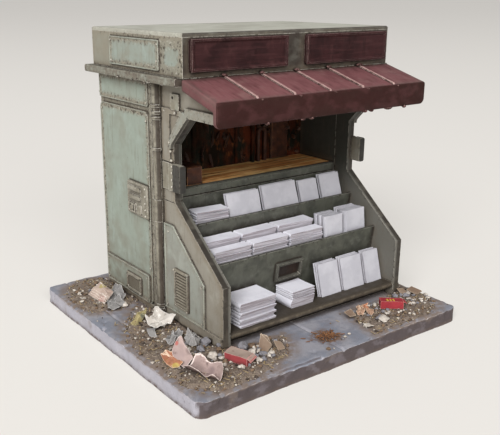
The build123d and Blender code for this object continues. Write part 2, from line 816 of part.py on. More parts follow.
lower_pile_left = pile_row(
    [lower_left_pile_span],
    lower_shelf,
    -lower_lip_front + lower_pile_setback,
    lower_left_pile_depth,
    lower_left_pile_height,
    lower_pile_turn,
)
lower_pile_right = pile_row(
    [lower_right_pile_span],
    lower_shelf,
    -lower_lip_front + lower_right_pile_setback,
    lower_right_pile_depth,
    lower_right_pile_height,
    lower_pile_turn,
)
write("lower_piles", Compound([lower_pile_left, lower_pile_right]))
lower_display = leaning_row(
    lower_display_spans,
    lower_display_heights,
    lower_shelf,
    -lower_lip_front + lower_display_setback,
    thin_pack,
    lower_display_lean,
)
write("lower_display", lower_display)

# Rubble beds and litter on the plate. Walls and the plate's edge trim the beds' loose outlines.
bed_outlines = [
    [(-40, 41), (-35, 45), (-28, 42), (-28, 25), (-34, 22), (-38, 23), (-43, 25), (-44, 33)],
    [(-36, 16), (-31, 21), (-27, 15), (-27, -4), (-24, -13), (-12, -12.5), (-16, -19), (-26, -24)]
    + [(-36, -26), (-44, -18), (-44, -3), (-42, 6), (-39, 12)],
    [(6, -24), (7, -16), (9, -12.5), (22, -12.5), (29, -9), (34, -6), (34, -18), (24, -26)],
]
beds = []
for outline in bed_outlines:
    edge = Spline(*[(x, y, ground) for x, y in outline], periodic=True)
    beds.append(extrude(make_face(edge), amount=bed_height))
bed_area = plate_centre * RectangleRounded(
    plate_width - 2 * bed_edge_margin,
    plate_depth - 2 * bed_edge_margin,
    plate_corner_radius,
)
bed_space = Pos(0, 0, ground) * extrude(bed_area, amount=bed_height)
door_half = wall_outer + panel_proud
plinth_half = flank_outer + flank_plinth_proud
door_footprint = block((-door_half, door_half), (panel_front, body_depth), (ground, body_top))
wall_footprint = block((-wall_outer, wall_outer), (side_wall_front, body_depth), (ground, body_top))
flank_footprint = block((-plinth_half, plinth_half), (-flank_reach, side_wall_front), (ground, body_top))
trimmed_beds = []
for bed in beds:
    bed = (bed & bed_space) - door_footprint - wall_footprint - flank_footprint
    trimmed_beds.append(bed - conduit - corner_strip)
write("rubble_beds", Compound(trimmed_beds))


def crumpled(width, length, height):
    """A crumpled sheet as a low twisted lump."""
    crown = Rectangle(width * crumpled_crown_share, length * crumpled_crown_share)
    return loft([Rectangle(width, length), Pos(0, 0, height) * Rot(0, 0, crumpled_twist) * crown])


bed_top = ground + bed_height
left_margin = -door_half - plate_left
crumples = []
for margin_share, from_front, width, length, height, turn in crumpled_sheets:
    place = Pos(-door_half - margin_share * left_margin, plate_front + from_front, bed_top)
    crumples.append(place * Rot(0, 0, turn) * crumpled(width, length, height))
write("crumpled_papers", Compound(crumples))
litter_box = Box(
    litter_box_length,
    litter_box_width,
    litter_box_height,
    align=(Align.CENTER, Align.CENTER, Align.MIN),
)
litter_box = fillet(litter_box.edges().filter_by(Axis.X), litter_box_radius)
litter_boxes = []
for box_x, turn in zip((-flank_outer, inner_half - litter_box_inset), litter_box_turns):
    box_place = Pos(box_x, -flank_reach - litter_box_setback, bed_top)
    litter_boxes.append(box_place * Rot(0, 0, turn) * litter_box)
write("litter_boxes", Compound(litter_boxes))
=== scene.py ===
import bpy
import bmesh
import json
from math import cos, pi, radians, sin
from mathutils import Matrix, Vector, noise
from random import Random


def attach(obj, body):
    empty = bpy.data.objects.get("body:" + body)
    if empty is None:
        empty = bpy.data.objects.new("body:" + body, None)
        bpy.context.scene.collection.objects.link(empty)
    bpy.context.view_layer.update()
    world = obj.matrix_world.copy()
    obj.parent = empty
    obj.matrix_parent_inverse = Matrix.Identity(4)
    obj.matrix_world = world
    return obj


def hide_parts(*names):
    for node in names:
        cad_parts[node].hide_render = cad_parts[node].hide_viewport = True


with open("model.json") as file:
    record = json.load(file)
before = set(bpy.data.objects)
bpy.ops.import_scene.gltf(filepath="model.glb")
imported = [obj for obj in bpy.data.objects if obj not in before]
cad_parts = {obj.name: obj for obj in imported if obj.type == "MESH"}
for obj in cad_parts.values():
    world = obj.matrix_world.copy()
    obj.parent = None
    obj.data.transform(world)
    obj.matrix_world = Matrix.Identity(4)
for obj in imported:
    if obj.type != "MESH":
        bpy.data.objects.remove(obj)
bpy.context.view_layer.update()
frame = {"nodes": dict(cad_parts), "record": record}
node_slots = {part["node"]: part["material_slot"] for part in frame["record"]["subparts"]}

# Everything below is drawn in millimetres from the kiosk's middle, the header's front and the
# plate's underside, as the real model would be measured, and then set on the plate's centre.
MM = 0.001
KIOSK_RIGHT_OF_CENTRE = 5.4
KIOSK_FRONT_OF_CENTRE = 10.3
GROUND = 3.7


def placed(point):
    """A point in kiosk millimetres as metres in the shared frame."""
    x, y, z = point
    return ((x + KIOSK_RIGHT_OF_CENTRE) * MM, (y - KIOSK_FRONT_OF_CENTRE) * MM, z * MM)


def linear(hex_colour):
    """An sRGB hex colour as linear RGBA."""
    channels = [int(hex_colour[i:i + 2], 16) / 255 for i in (0, 2, 4)]
    return [c / 12.92 if c <= 0.04045 else ((c + 0.055) / 1.055) ** 2.4 for c in channels] + [1.0]


class Finish:
    """One material, built up coat over coat as the real surface was painted."""

    def __init__(self, name, first_coat):
        self.material = bpy.data.materials.new(name)
        self.material.use_nodes = True
        self.tree = self.material.node_tree
        self.shader = self.tree.nodes["Principled BSDF"]
        self.colour = linear(first_coat)
        self.place = self.add("ShaderNodeTexCoord").outputs["Object"]
        self.across, _, self.height = self.add("ShaderNodeSeparateXYZ", {0: self.place}).outputs
        self.normal = self.add("ShaderNodeNewGeometry").outputs["True Normal"]
        facing = self.add("ShaderNodeSeparateXYZ", {0: self.normal}).outputs
        self.faces_right, self.faces_back, self.faces_up = facing

    def wire(self, node, settings):
        """Sets up a node. A setting is a property, an input's value, or the output that feeds it."""
        for key, value in settings.items():
            if isinstance(value, bpy.types.NodeSocket):
                self.tree.links.new(value, node.inputs[key])
            elif isinstance(key, str) and hasattr(node, key):
                setattr(node, key, value)
            else:
                node.inputs[key].default_value = value
        return node

    def add(self, kind, settings=None):
        """Adds a shader node with its settings and links."""
        return self.wire(self.tree.nodes.new(kind), settings or {})

    def band(self, source, low, high, to_low=0.0, to_high=1.0):
        """A value eased from to_low at low to to_high at high."""
        ends = {1: low, 2: high, 3: to_low, 4: to_high}
        ramp = {"interpolation_type": "SMOOTHSTEP", 0: source, **ends}
        return self.add("ShaderNodeMapRange", ramp).outputs[0]

    def grain(self, size_mm, stretch=(1, 1, 1), detail=3.0, roughness=0.55, seed=0.0):
        """Noise whose spots are about size_mm across, stretched along the object's axes."""
        shift = (seed, seed * 0.7, seed * 1.3)
        scale = [1 / (size_mm * MM * s) for s in stretch]
        scaled = self.add("ShaderNodeMapping", {"Vector": self.place, "Location": shift, "Scale": scale})
        spots = {"Vector": scaled.outputs[0], "Scale": 1.0, "Detail": detail, "Roughness": roughness}
        return self.add("ShaderNodeTexNoise", spots).outputs[0]

    def where_all(self, mask, *others):
        """Where all of these masks hold. A plain number thins what is left."""
        for other in others:
            mask = self.add("ShaderNodeMath", {"operation": "MULTIPLY", 0: mask, 1: other}).outputs[0]
        return mask

    def coat(self, hex_colour, *masks):
        """One coat over what lies below it, where all of these masks hold."""
        cover = self.where_all(*masks)
        mix = {"data_type": "RGBA", 0: cover, 6: self.colour, 7: linear(hex_colour)}
        self.colour = self.add("ShaderNodeMix", mix).outputs[2]

    def edges(self, radius_mm, low, high):
        """Where a sharp edge is near: the rounded normal is compared with the true one."""
        rounded = self.add("ShaderNodeBevel", {"samples": 6, "Radius": radius_mm * MM}).outputs[0]
        alike = self.add("ShaderNodeVectorMath", {"operation": "DOT_PRODUCT", 0: rounded, 1: self.normal})
        return self.band(alike.outputs["Value"], high, low)

    def nooks(self, reach_mm, low, high, most=1.0, samples=8):
        """Where corners and joints are, within a reach."""
        openness = self.add("ShaderNodeAmbientOcclusion", {"samples": samples, "Distance": reach_mm * MM})
        return self.band(openness.outputs["AO"], low, high, 0.0, most)

    def distance_from(self, point):
        measure = {"operation": "DISTANCE", 0: self.place, 1: placed(point)}
        return self.add("ShaderNodeVectorMath", measure).outputs["Value"]

    def frayed(self, distance, depth_mm, size_mm, detail):
        """A distance that wanders by a depth, in spots of a size, so that its line is ragged."""
        wander = self.grain(size_mm, detail=detail)
        sum_of_both = {"operation": "MULTIPLY_ADD", 0: wander, 1: depth_mm * MM, 2: distance}
        return self.add("ShaderNodeMath", sum_of_both).outputs[0]

    def outside_panels(self, panels):
        """How far outside the nearest panel a side wall's point lies."""
        nearest = None
        for front, back, low, high in panels:
            middle = placed((0, (front + back) / 2, (low + high) / 2))
            half = Vector((0, back - front, high - low)) * MM / 2
            away = self.add("ShaderNodeVectorMath", {"operation": "SUBTRACT", 0: self.place, 1: middle})
            away = self.add("ShaderNodeVectorMath", {"operation": "ABSOLUTE", 0: away.outputs[0]})
            beyond = self.add("ShaderNodeVectorMath", {"operation": "SUBTRACT", 0: away.outputs[0], 1: half})
            _, beyond_y, beyond_z = self.add("ShaderNodeSeparateXYZ", {0: beyond.outputs[0]}).outputs
            reach = self.add("ShaderNodeMath", {"operation": "MAXIMUM", 0: beyond_y, 1: beyond_z}).outputs[0]
            if nearest:
                reach = self.add("ShaderNodeMath", {"operation": "MINIMUM", 0: nearest, 1: reach}).outputs[0]
            nearest = reach
        return nearest

    def done(self, strength, depth_mm, pattern, roughness, sheen=0.5, under=None):
        """Ends the material with a fine relief of a depth and a pattern, on the surface under it."""
        relief = {"Strength": strength, "Distance": depth_mm * MM, "Height": pattern}
        if under:
            relief["Normal"] = under
        self.wire(self.shader, {
            "Base Color": self.colour, "Normal": self.add("ShaderNodeBump", relief).outputs[0],
            "Roughness": roughness, "Specular IOR Level": sheen,
        })
        return self.material


# Painted resin. What is nearer the kiosk's middle than the room's half width faces the room, and
# the room's painted shade comes in over these heights, from the display up to the counter.
ROOM_HALF_WIDTH = 26.4
ROOM_FADE = 0.2
ROOM_SHADE_FROM = 26
ROOM_SHADE_ABOVE = 36


def painted_resin(
    name, paint, shade, pale, grime_and_shade, worn, line="2b231d", front=None, front_shade_from=-0.25, top=None, inside=None,
    tint=None, panels=(), mottle_mm=5.0, streaks=0.45, corner_dirt_and_shade=0.75, ground_dirt=0.6, wear=0.9, chips=0.5,
    brushed=0.0, brush_way=(1, 9, 6), brush_above=-2.0, sheen=0.35,
):
    """Acrylic paint brushed over cast resin, then washed with brown and scuffed.

    To the eye it is matt and slightly uneven: thin runs of wash down the sides, brown in the corners
    that is settled wash and painted shade, bright scuffed edges, and small dark chips beside them.
    Where a front colour is given, faces turned to the front get a darker coat, partly painted shade.
    """
    finish = Finish(name + "_acrylic_on_resin", paint)
    finish.coat(shade, finish.band(finish.grain(mottle_mm), 0.42, 0.66))
    finish.coat(pale, finish.band(finish.grain(mottle_mm * 0.6, seed=3), 0.52, 0.72, 0.0, 0.75))
    if brushed:
        # Paler and darker strokes left by the brush
        strokes = finish.grain(0.55, brush_way, 4, seed=13)
        stroked = finish.band(finish.faces_up, brush_above, brush_above + 0.3, 0.0, brushed)
        finish.coat(pale, stroked, finish.band(strokes, 0.52, 0.68))
        finish.coat(grime_and_shade, stroked, finish.band(strokes, 0.44, 0.32))
    if tint:
        # The paint is thin and brownish along every edge, and only full in the middle of a panel
        thin = finish.band(finish.grain(1.3, detail=5), 0.30, 0.52)
        finish.coat(tint, finish.edges(2.4, 0.95, 0.9998), thin, 0.9)
    if panels:
        # Full paint is left only inside the panels. It ends in a ragged brown border with chips along it
        outside = finish.outside_panels(panels)
        finish.coat(tint, finish.band(finish.frayed(outside, 2.6, 1.2, 6), 0.3 * MM, 1.0 * MM, 0.0, 0.75))
        by_border = finish.add("ShaderNodeMath", {"operation": "ABSOLUTE", 0: outside}).outputs[0]
        by_border = finish.band(by_border, 1.5 * MM, 0.5 * MM)
        flakes = finish.band(finish.grain(0.9, detail=4, roughness=0.7, seed=21), 0.545, 0.575)
        finish.coat("3d342c", flakes, by_border, 0.85)
        primer = finish.band(finish.grain(0.8, detail=4, roughness=0.7, seed=27), 0.60, 0.63)
        finish.coat("c3c1b5", primer, by_border, 0.7)
    if front:
        # Faces turned to the front get a darker coat, partly a coat of their own and partly painted
        # shade, with the first paint showing through in places
        front_coat_and_shade = finish.band(finish.faces_back, front_shade_from, front_shade_from - 0.35, 0.0, 0.92)
        finish.coat(front, front_coat_and_shade)
        thin = finish.band(finish.grain(2.6, (1.8, 1, 1), 5, seed=17), 0.47, 0.66, 0.0, 0.2)
        finish.coat(shade, front_coat_and_shade, thin)
    if inside:
        # What looks inwards is darker, partly its own paint and partly painted shade, and higher up it
        # takes the room's painted shade over that
        away = {"operation": "SUBTRACT", 0: finish.across, 1: KIOSK_RIGHT_OF_CENTRE * MM}
        away = {"operation": "ABSOLUTE", 0: finish.add("ShaderNodeMath", away).outputs[0]}
        away = finish.add("ShaderNodeMath", away).outputs[0]
        between = finish.band(away, (ROOM_HALF_WIDTH + ROOM_FADE) * MM, (ROOM_HALF_WIDTH - ROOM_FADE) * MM)
        in_room = finish.where_all(between, finish.band(finish.faces_back, 0.6, 0.3))
        finish.coat(inside, in_room)
        finish.coat("40403a", in_room, finish.band(finish.height, ROOM_SHADE_FROM * MM, ROOM_SHADE_ABOVE * MM))
    # Runs of brown wash down upright faces
    upright = finish.band(finish.where_all(finish.faces_up, finish.faces_up), 0.5, 0.2)
    finish.coat(grime_and_shade, finish.band(finish.grain(0.8, (1, 1, 8), seed=1), 0.56, 0.76), upright, streaks)
    # Dirt splashed up from the ground
    low_down = finish.band(finish.height, 24 * MM, 3.5 * MM)
    finish.coat(grime_and_shade, low_down, finish.band(finish.grain(2.2), 0.2, 0.7), ground_dirt)
    # Brown in corners, deeper the more closed in a corner is: settled wash and painted shade both.
    # Then a dark line drawn along every joint and panel edge
    corner_patches = finish.band(finish.grain(0.9), 0.15, 0.6)
    finish.coat(grime_and_shade, finish.nooks(2.4, 0.96, 0.55), corner_patches, 0.8 * corner_dirt_and_shade)
    finish.coat(line, finish.nooks(0.6, 0.90, 0.55, 0.9))
    # Faces that look up take the top colour; the shelf's is painted shade, under the papers and the tier
    # above
    if top:
        finish.coat(top, finish.band(finish.faces_up, 0.4, 0.8))
    # Scuffed bright edges, dark chips beside them, and specks
    finish.coat(worn, finish.edges(0.3, 0.80, 0.985), finish.band(finish.grain(1.3), 0.30, 0.55), wear)
    chipped = finish.band(finish.grain(0.7, detail=2.5, seed=5), 0.59, 0.63)
    finish.coat("2c231d", finish.edges(1.5, 0.93, 0.999), chipped, chips)
    finish.coat("4a4038", finish.band(finish.grain(0.45, detail=1.0, seed=9), 0.74, 0.78), 0.5 * chips)
    # Brush marks and grit in the paint, over edges that are a little round
    soft = finish.add("ShaderNodeBevel", {"samples": 4, "Radius": 0.1 * MM}).outputs[0]
    roughness = finish.band(finish.grain(2.0), 0.3, 0.7, 0.52, 0.74)
    return finish.done(0.35, 0.06, finish.grain(0.5, (1, 1, 3)), roughness, sheen, soft)


# Each panel of a side wall that keeps its full paint: front, back, low and high
SIDE_PANELS = [
    (16.6, 39.3, 5.4, 51.8), (16.6, 39.3, 53.6, 59.1), (9.1, 30.4, 62.2, 68.0), (1.0, 7.6, 62.6, 67.4),
]
sage = painted_resin(
    "sage", "929b90", "8c9084", "99a49b", "675a4b", "cbc8bc", inside="4b4b43", tint="8a8273",
    panels=SIDE_PANELS, mottle_mm=8, streaks=0.35, chips=0.9,
)
sage_header = painted_resin(
    "header", "929a91", "8c8d81", "9aa49c", "665a4b", "cdcabe", front="251b17", tint="8a8374",
    panels=SIDE_PANELS, streaks=0.35, chips=0.9,
)
sage_rim = painted_resin(
    "worn_rim", "8f968b", "878679", "a0a397", "6a5d4f", "c2bfb3", wear=0.8, streaks=0.2
)
flank_paint = painted_resin(
    "flank", "918c81", "878073", "9a978c", "665a4d", "b9b3a6", front="211d19", inside="67655e", tint="857b6b",
    streaks=0.35, ground_dirt=0.12, corner_dirt_and_shade=0.5, wear=0.65, chips=0.9,
)
flank_cover_paint = painted_resin(
    "flank_cover", "94978e", "8b8a81", "9fa299", "6a5e51", "c2bdb0", front="4a463f", inside="34352e",
    tint="8b8578", mottle_mm=7, streaks=0.35, ground_dirt=0.1, corner_dirt_and_shade=0.5, wear=0.7, chips=0.9,
)
fitting_paint = painted_resin(
    "fitting", "918d80", "868071", "9b9c90", "55483b", "d2cdc1", front="3f3a33", streaks=0.4, wear=1.1
)
tube_paint = painted_resin(
    "tube", "8a8577", "726c60", "a39f91", "3d332a", "dcd8cc", front="3a322a", front_shade_from=-0.4,
    mottle_mm=1.6, streaks=0.7, corner_dirt_and_shade=1.2, wear=0.7, chips=1.0,
)
roof_paint = painted_resin(
    "roof", "b8b8ac", "a8a79b", "c6c6bb", "7d7665", "b9b7ab", front="352d28", tint="9f9c90", mottle_mm=9,
    wear=0.3, chips=0.35, brushed=0.16, brush_above=0.2,
)
gutter_paint = painted_resin(
    "gutter", "8d8f84", "7a756a", "9da195", "43382f", "c9c5ba", front="4f463f", tint="6a6054",
    mottle_mm=2.6, streaks=0.3, corner_dirt_and_shade=1.0, chips=1.0,
)
awning_paint = painted_resin(
    "awning", "774d4f", "6a4345", "7f5d5b", "38211f", "b8918b", front="28130f", tint="66504d", mottle_mm=7,
    streaks=0.25, corner_dirt_and_shade=0.7, wear=0.7, chips=0.3, brushed=0.4, brush_above=0.2, sheen=0.1,
)
rib_paint = painted_resin("rib", "a37f7b", "8f6a66", "c4a39d", "45302e", "dcbdb6", wear=1.4, chips=0.2)
sign_paint = painted_resin(
    "sign", "361d1e", "291516", "472b2b", "1b100f", "94807a", wear=1.0, chips=0.3, brushed=0.45,
    brush_way=(14, 1, 1), sheen=0.15,
)
display_paint = painted_resin(
    "display", "52534a", "43443d", "61625a", "241e19", "a5a197", mottle_mm=3.5, streaks=0.3, corner_dirt_and_shade=1.1,
    ground_dirt=0.3, wear=0.6, chips=1.4,
)
display_rim = painted_resin("display_rim", "4d4d46", "3e3d37", "5c5b53", "28221d", "9a968a", streaks=0.2)
interior_paint = painted_resin(
    "interior", "2c1d14", "221812", "40281b", "120c09", "5b3c2a", streaks=0.6, corner_dirt_and_shade=0.9
)
rust_paint = painted_resin("rust", "4a2817", "351b10", "63391f", "24120c", "b98557", mottle_mm=2.5, chips=0.7)
rivet_paint = painted_resin("rivet", "b7b3a5", "a29c8e", "cdc9bd", "5c4e41", "e4e0d6", streaks=0.0, wear=1.6)
# The kick board is near black: its own dark paint with painted shade under the lower tier
kick_shade_paint = painted_resin("kick", "241f1b", "1c1815", "302a25", "1d1814", "8f8676", wear=1.2, chips=0.6)
# The shelf's top colour is painted shade where it lies under the papers and the tier above
shelf_paint = painted_resin(
    "shelf", "6a6051", "534a3f", "7f7564", "241e19", "aaa193", top="3d362d", mottle_mm=2.5, corner_dirt_and_shade=1.1,
    wear=1.2, chips=0.9,
)
lock_paint = painted_resin(
    "lock", "8d887b", "7b7567", "9d998c", "3f352c", "cfcabd", mottle_mm=2.5, streaks=0.2, corner_dirt_and_shade=1.2, wear=1.2
)
slat_paint = painted_resin(
    "slat", "938d7e", "827b6d", "a19b8c", "5b5347", "938d7e", line="5b5347", streaks=0.0, corner_dirt_and_shade=0.3,
    wear=0.0, chips=0.0,
)
goods_paint = painted_resin(
    "goods", "351d11", "24140c", "4d2b18", "120a07", "7a4c2c", mottle_mm=2.0, corner_dirt_and_shade=0.9, wear=0.5
)
latch_paint = painted_resin(
    "latch", "45433e", "34302b", "52514b", "211b16", "8f8a7c", front="2d2c29", mottle_mm=1.1, wear=0.7,
    chips=1.6,
)
# Paint for the dark plates that stand for the shadow inside the vents' recesses
vent_shadow_paint = painted_resin("recess", "3a352d", "2c2822", "4a443a", "1a1612", "6d6558", streaks=0.2)


def stained_board(name):
    """The room's back, loosely painted: near black on the left, rust and ochre blots to the right."""
    finish = Finish(name, "1a140d")
    rightwards = finish.band(finish.across, placed((-16, 0, 0))[0], placed((6, 0, 0))[0], 0.1, 1.0)
    finish.coat("20211a", finish.band(finish.grain(4.0, seed=2), 0.44, 0.62, 0, 0.9))
    finish.coat("552614", finish.band(finish.grain(3.2, (1, 1, 1.8), 4, seed=5), 0.42, 0.68), rightwards)
    ochre = finish.band(finish.grain(1.1, (1, 1, 2.2), 4, seed=9), 0.56, 0.72, 0.0, 0.7)
    finish.coat("7e4a26", ochre, rightwards)
    return finish.done(0.9, 0.4, finish.grain(1.2, (1, 1, 1.5), 5), 0.9, 0.15)


def paved_plaster(name):
    """Plaster cast as paving, painted blue-grey and dry-brushed.

    To the eye it is chalky and cool on top, nearly white along its broken edges, brown where earth
    has been washed over it, paler on its left side with painted light, and darker on its front side
    with painted shade.
    """
    finish = Finish(name, "7f828d")
    finish.coat("95949b", finish.band(finish.grain(6, seed=2), 0.42, 0.62))
    finish.coat("7c7b84", finish.band(finish.grain(2.6, seed=4), 0.52, 0.68, 0, 0.8))
    # Painted light on the side that faces left, and painted shade on the front side, in clouds
    finish.coat("aeabb3", finish.band(finish.faces_right, -0.4, -0.8, 0, 0.8))
    finish.coat("473c3b", finish.band(finish.faces_back, -0.4, -0.8, 0, 0.95))
    clouds = finish.band(finish.grain(2.2, (1.6, 1, 1), 5, seed=15), 0.48, 0.62)
    finish.coat("625a5d", finish.band(finish.faces_back, -0.4, -0.8), clouds)
    # Earth washed over it in clouds, thick along its foot, and smeared in front of the kiosk
    finish.coat("7b6c60", finish.band(finish.grain(7, detail=5, seed=9), 0.58, 0.72, 0, 0.5))
    foot = finish.band(finish.height, 1.0 * MM, 0.1 * MM)
    finish.coat("5f4f48", foot, finish.band(finish.grain(1.5), 0.40, 0.65))
    smear = finish.band(finish.distance_from((-4.5, -18.6, GROUND)), 5.2 * MM, 2.0 * MM)
    finish.coat("6f5138", smear, finish.band(finish.grain(1.6, detail=5), 0.46, 0.56))
    # Dust round the mud, from the plate's own dust attribute
    dust = finish.add("ShaderNodeAttribute", {"attribute_name": "dust"}).outputs["Fac"]
    finish.coat("7d6e64", dust, finish.band(finish.grain(1.5, detail=5, seed=7), 0.25, 0.62))
    # Painted shade round the kiosk's foot, the stones and the mud, and in the joints and pits
    finish.coat("52463f", finish.nooks(2.2, 0.9, 0.4, 0.8))
    broken = finish.band(finish.grain(1.4, seed=6), 0.36, 0.56)
    finish.coat("cfcbcf", finish.edges(0.35, 0.80, 0.985), broken, 0.6)
    finish.coat("5b5459", finish.band(finish.grain(0.35, detail=1, seed=12), 0.70, 0.76), 0.55)
    # Grit in the plaster, 0.3 mm across, under slow dents 2 mm across
    grit = {"Strength": 0.5, "Distance": 0.10 * MM, "Height": finish.grain(0.3)}
    grit = finish.add("ShaderNodeBump", grit).outputs[0]
    return finish.done(0.5, 0.3, finish.grain(2.0, detail=4), 0.88, under=grit)


def loose_ground(name, base, patches, grit_mm, depth_mm):
    """Earth, stone or straw fixed with matt glue: dusty, uneven in tone, with no shine at all.

    Each patch is a size, the noise where it starts and where it is full, its cover and its colour.
    """
    finish = Finish(name, base)
    for index, (size_mm, low, high, cover, hex_colour) in enumerate(patches):
        finish.coat(hex_colour, finish.band(finish.grain(size_mm, seed=3.1 * index), low, high, 0.0, cover))
    # Painted shade in the hollows between clods, stones and straws
    finish.coat("392e27", finish.nooks(1.2, 0.8, 0.25, 0.8, samples=6))
    return finish.done(0.8, depth_mm, finish.grain(grit_mm, detail=5), 0.95)


def plain_paper(
    name, base, cool, dust_and_shade, worn=None, patches=(), front_edge_shade=None, top=None, crinkle=0.35, corner_dirt_and_shade=0.6,
    clouds=0.5, shade_mm=1.4,
):
    """Uncoated paper: matt, a little cloudy, with soft dents, and dust and painted shade in its corners.

    Patches are the faded printed areas: a place, a reach in millimetres and a colour.
    """
    finish = Finish(name, base)
    finish.coat(cool, finish.band(finish.grain(4.0, seed=1), 0.4, 0.65, 0, 0.8))
    if top:
        finish.coat(top, finish.band(finish.faces_up, 0.6, 0.9, 0.0, 0.85))
    if front_edge_shade:
        # Painted shade on the faces turned to the front, in bands where sheets begin
        bands = finish.band(finish.grain(0.28, (30, 30, 1), 3, seed=31), 0.42, 0.60, 0.6, 1.0)
        finish.coat(front_edge_shade, finish.band(finish.faces_back, -0.5, -0.8), bands)
    finish.coat(dust_and_shade, finish.band(finish.grain(1.6, seed=5), 0.56, 0.78, 0, clouds))
    for middle, reach, hex_colour in patches:
        away = finish.frayed(finish.distance_from(middle), 0.45 * reach, 1.4, 4)
        finish.coat(hex_colour, finish.band(away, 1.4 * reach * MM, 0.95 * reach * MM, 0.0, 0.9))
    # Painted shade in folds and corners, in the colour of the dust
    finish.coat(dust_and_shade, finish.nooks(shade_mm, 0.85, 0.3, corner_dirt_and_shade))
    if worn:
        finish.coat(worn, finish.edges(0.22, 0.80, 0.98))
    roughness = finish.band(finish.grain(3.0), 0.3, 0.7, 0.62, 0.8)
    return finish.done(crinkle, 0.12, finish.grain(1.1), roughness, 0.3)


def grained_wood(name):
    """Wood grain brushed on in thin oil paint: orange-brown streaks along the board, with a satin sheen."""
    # The first coat is paler than the board's own paint: painted light on the counter under the awning
    finish = Finish(name, "ffcf88")
    # Streaks 0.4 to 1.3 mm wide, drawn 12 to 18 times longer than wide
    finish.coat("d98e4b", finish.band(finish.grain(1.3, (12, 1, 1), 4), 0.46, 0.58))
    finish.coat("ffd595", finish.band(finish.grain(0.4, (14, 1, 1), 4, seed=3), 0.52, 0.66, 0, 0.8))
    finish.coat("7a4519", finish.band(finish.grain(0.7, (18, 1, 1), 2, seed=6), 0.56, 0.62, 0, 0.85))
    finish.coat("c67a42", finish.band(finish.grain(5.0, seed=8), 0.5, 0.7, 0, 0.5))
    # Painted shade where the board meets the walls and what stands on it
    finish.coat("4a2815", finish.nooks(1.2, 0.6, 0.15, 0.8))
    return finish.done(0.4, 0.08, finish.grain(0.5, (12, 1, 1), 4), 0.5)


paving = paved_plaster("painted_plaster_paving")
mud = loose_ground(
    "dried_mud", "7e7065",
    ((3.5, 0.44, 0.62, 0.8, "65574b"), (1.2, 0.50, 0.62, 0.7, "8a7a69"),
     (0.45, 0.59, 0.67, 0.85, "b5a793"), (0.6, 0.60, 0.66, 0.85, "43372d")),
    0.35, 0.5,
)
pale_stone = loose_ground(
    "pale_grit_stone", "c6bdb2", ((0.8, 0.45, 0.65, 0.7, "a89d94"), (0.4, 0.55, 0.7, 0.8, "e6e1d8")), 0.4, 0.1
)
brown_stone = loose_ground(
    "brown_grit_stone", "7a6450", ((0.8, 0.45, 0.65, 0.8, "5f4c3b"), (0.4, 0.55, 0.7, 0.7, "a08a6c")),
    0.4, 0.1,
)
grey_stone = loose_ground(
    "grey_grit_stone", "807e83", ((0.9, 0.45, 0.65, 0.8, "6e6a6d"), (0.5, 0.55, 0.7, 0.7, "a5a3a6")), 0.4, 0.1
)
dark_stone = loose_ground("dark_grit_stone", "40362f", ((0.8, 0.5, 0.7, 0.7, "5a4c42"),), 0.4, 0.1)
rusty_bits = loose_ground(
    "rusty_chips", "8a5c38", ((0.7, 0.45, 0.6, 0.8, "6a4429"), (0.4, 0.56, 0.66, 0.8, "b89066")), 0.3, 0.05
)
straw = loose_ground(
    "chopped_straw", "b8a27a", ((0.8, 0.45, 0.65, 0.8, "9c865f"), (0.5, 0.55, 0.7, 0.8, "d3c4a0")), 0.3, 0.05
)
# White newsprint twice: as it is for the piles lying flat, and a greyer copy with painted shade for the packs
# that stand up
newspaper = plain_paper(
    "white_newspaper", "e6e5ed", "dcdbe4", "aeaab0", front_edge_shade="928a8f", crinkle=0.1, corner_dirt_and_shade=0.8, clouds=0.1
)
shaded_standing_newspaper = plain_paper(
    "shaded_standing_newsprint", "bab9bf", "adacb3", "8d898f", crinkle=0.1, corner_dirt_and_shade=0.85, clouds=0.15
)
white_newsprint = plain_paper(
    "creased_white_newsprint", "d3cdc5", "b4aca3", "6f645a", "f5f1eb", [((-31.2, 8.6, 5.0), 0.25, "2b2723")],
    clouds=0.9,
)
yellow_newsprint = plain_paper(
    "creased_yellow_newsprint", "a2946a", "8a7d58", "61563f", "cfc596",
    [((-34.2, 12.4, 5.0), 0.9, "7a7a6a")],
)
grey_newsprint = plain_paper("creased_grey_newsprint", "8b8886", "72706f", "463f3b", "c2bfbd", clouds=0.9)
pink_newsprint = plain_paper(
    "creased_pink_newsprint", "b09a94", "9a8784", "5f4e49", "e6d6cf",
    [((-38.8, -9.6, 8.4), 0.5, "b0645c"), ((-37.0, -12.4, 7.4), 1.1, "857470"),
     ((-36.6, -18.4, 5.4), 1.2, "8f7c7a")],
    clouds=0.9, corner_dirt_and_shade=1.0, shade_mm=3.0,
)
torn_flyer = plain_paper(
    "torn_orange_flyer", "b07a58", "96604a", "654838", "e6cdb4",
    [((-41.2, -8.6, 5.6), 0.8, "c09a58"), ((-40.4, -11.8, 4.6), 0.8, "b9a45c")], clouds=0.9,
)
magazine_print = plain_paper(
    "folded_magazine_print", "bba79a", "a38c80", "6f5f55", "f0e7dd",
    [((-34.7, 31.4, 6.6), 1.2, "ab9a66"), ((-37.4, 27.4, 4.8), 1.2, "b08a80")], clouds=0.9,
)
orange_newsprint = plain_paper(
    "creased_orange_newsprint", "a1806a", "8a6a55", "5f4636", "d6bda4", [((11.9, -15.2, 5.8), 0.8, "ac6644")],
    clouds=0.9,
)
box_card = plain_paper(
    "faded_red_card", "a4474a", "8a3a3d", "5d3532", "d6a59e", top="a09588", crinkle=0.6, clouds=1.0
)
red_card = plain_paper("printed_red_card", "a0323a", "8a2a32", "5c302c", "cf8a80", crinkle=0.5, clouds=0.7)
label_card = plain_paper("yellow_label_card", "d0a93f", "b8923a", "7a5a30")
brown_card = plain_paper("torn_brown_card", "8a7766", "776252", "594a3f", "bba995", crinkle=0.5)
wood = grained_wood("painted_wood_grain")
room_board_paint = stained_board("stained_room_board")

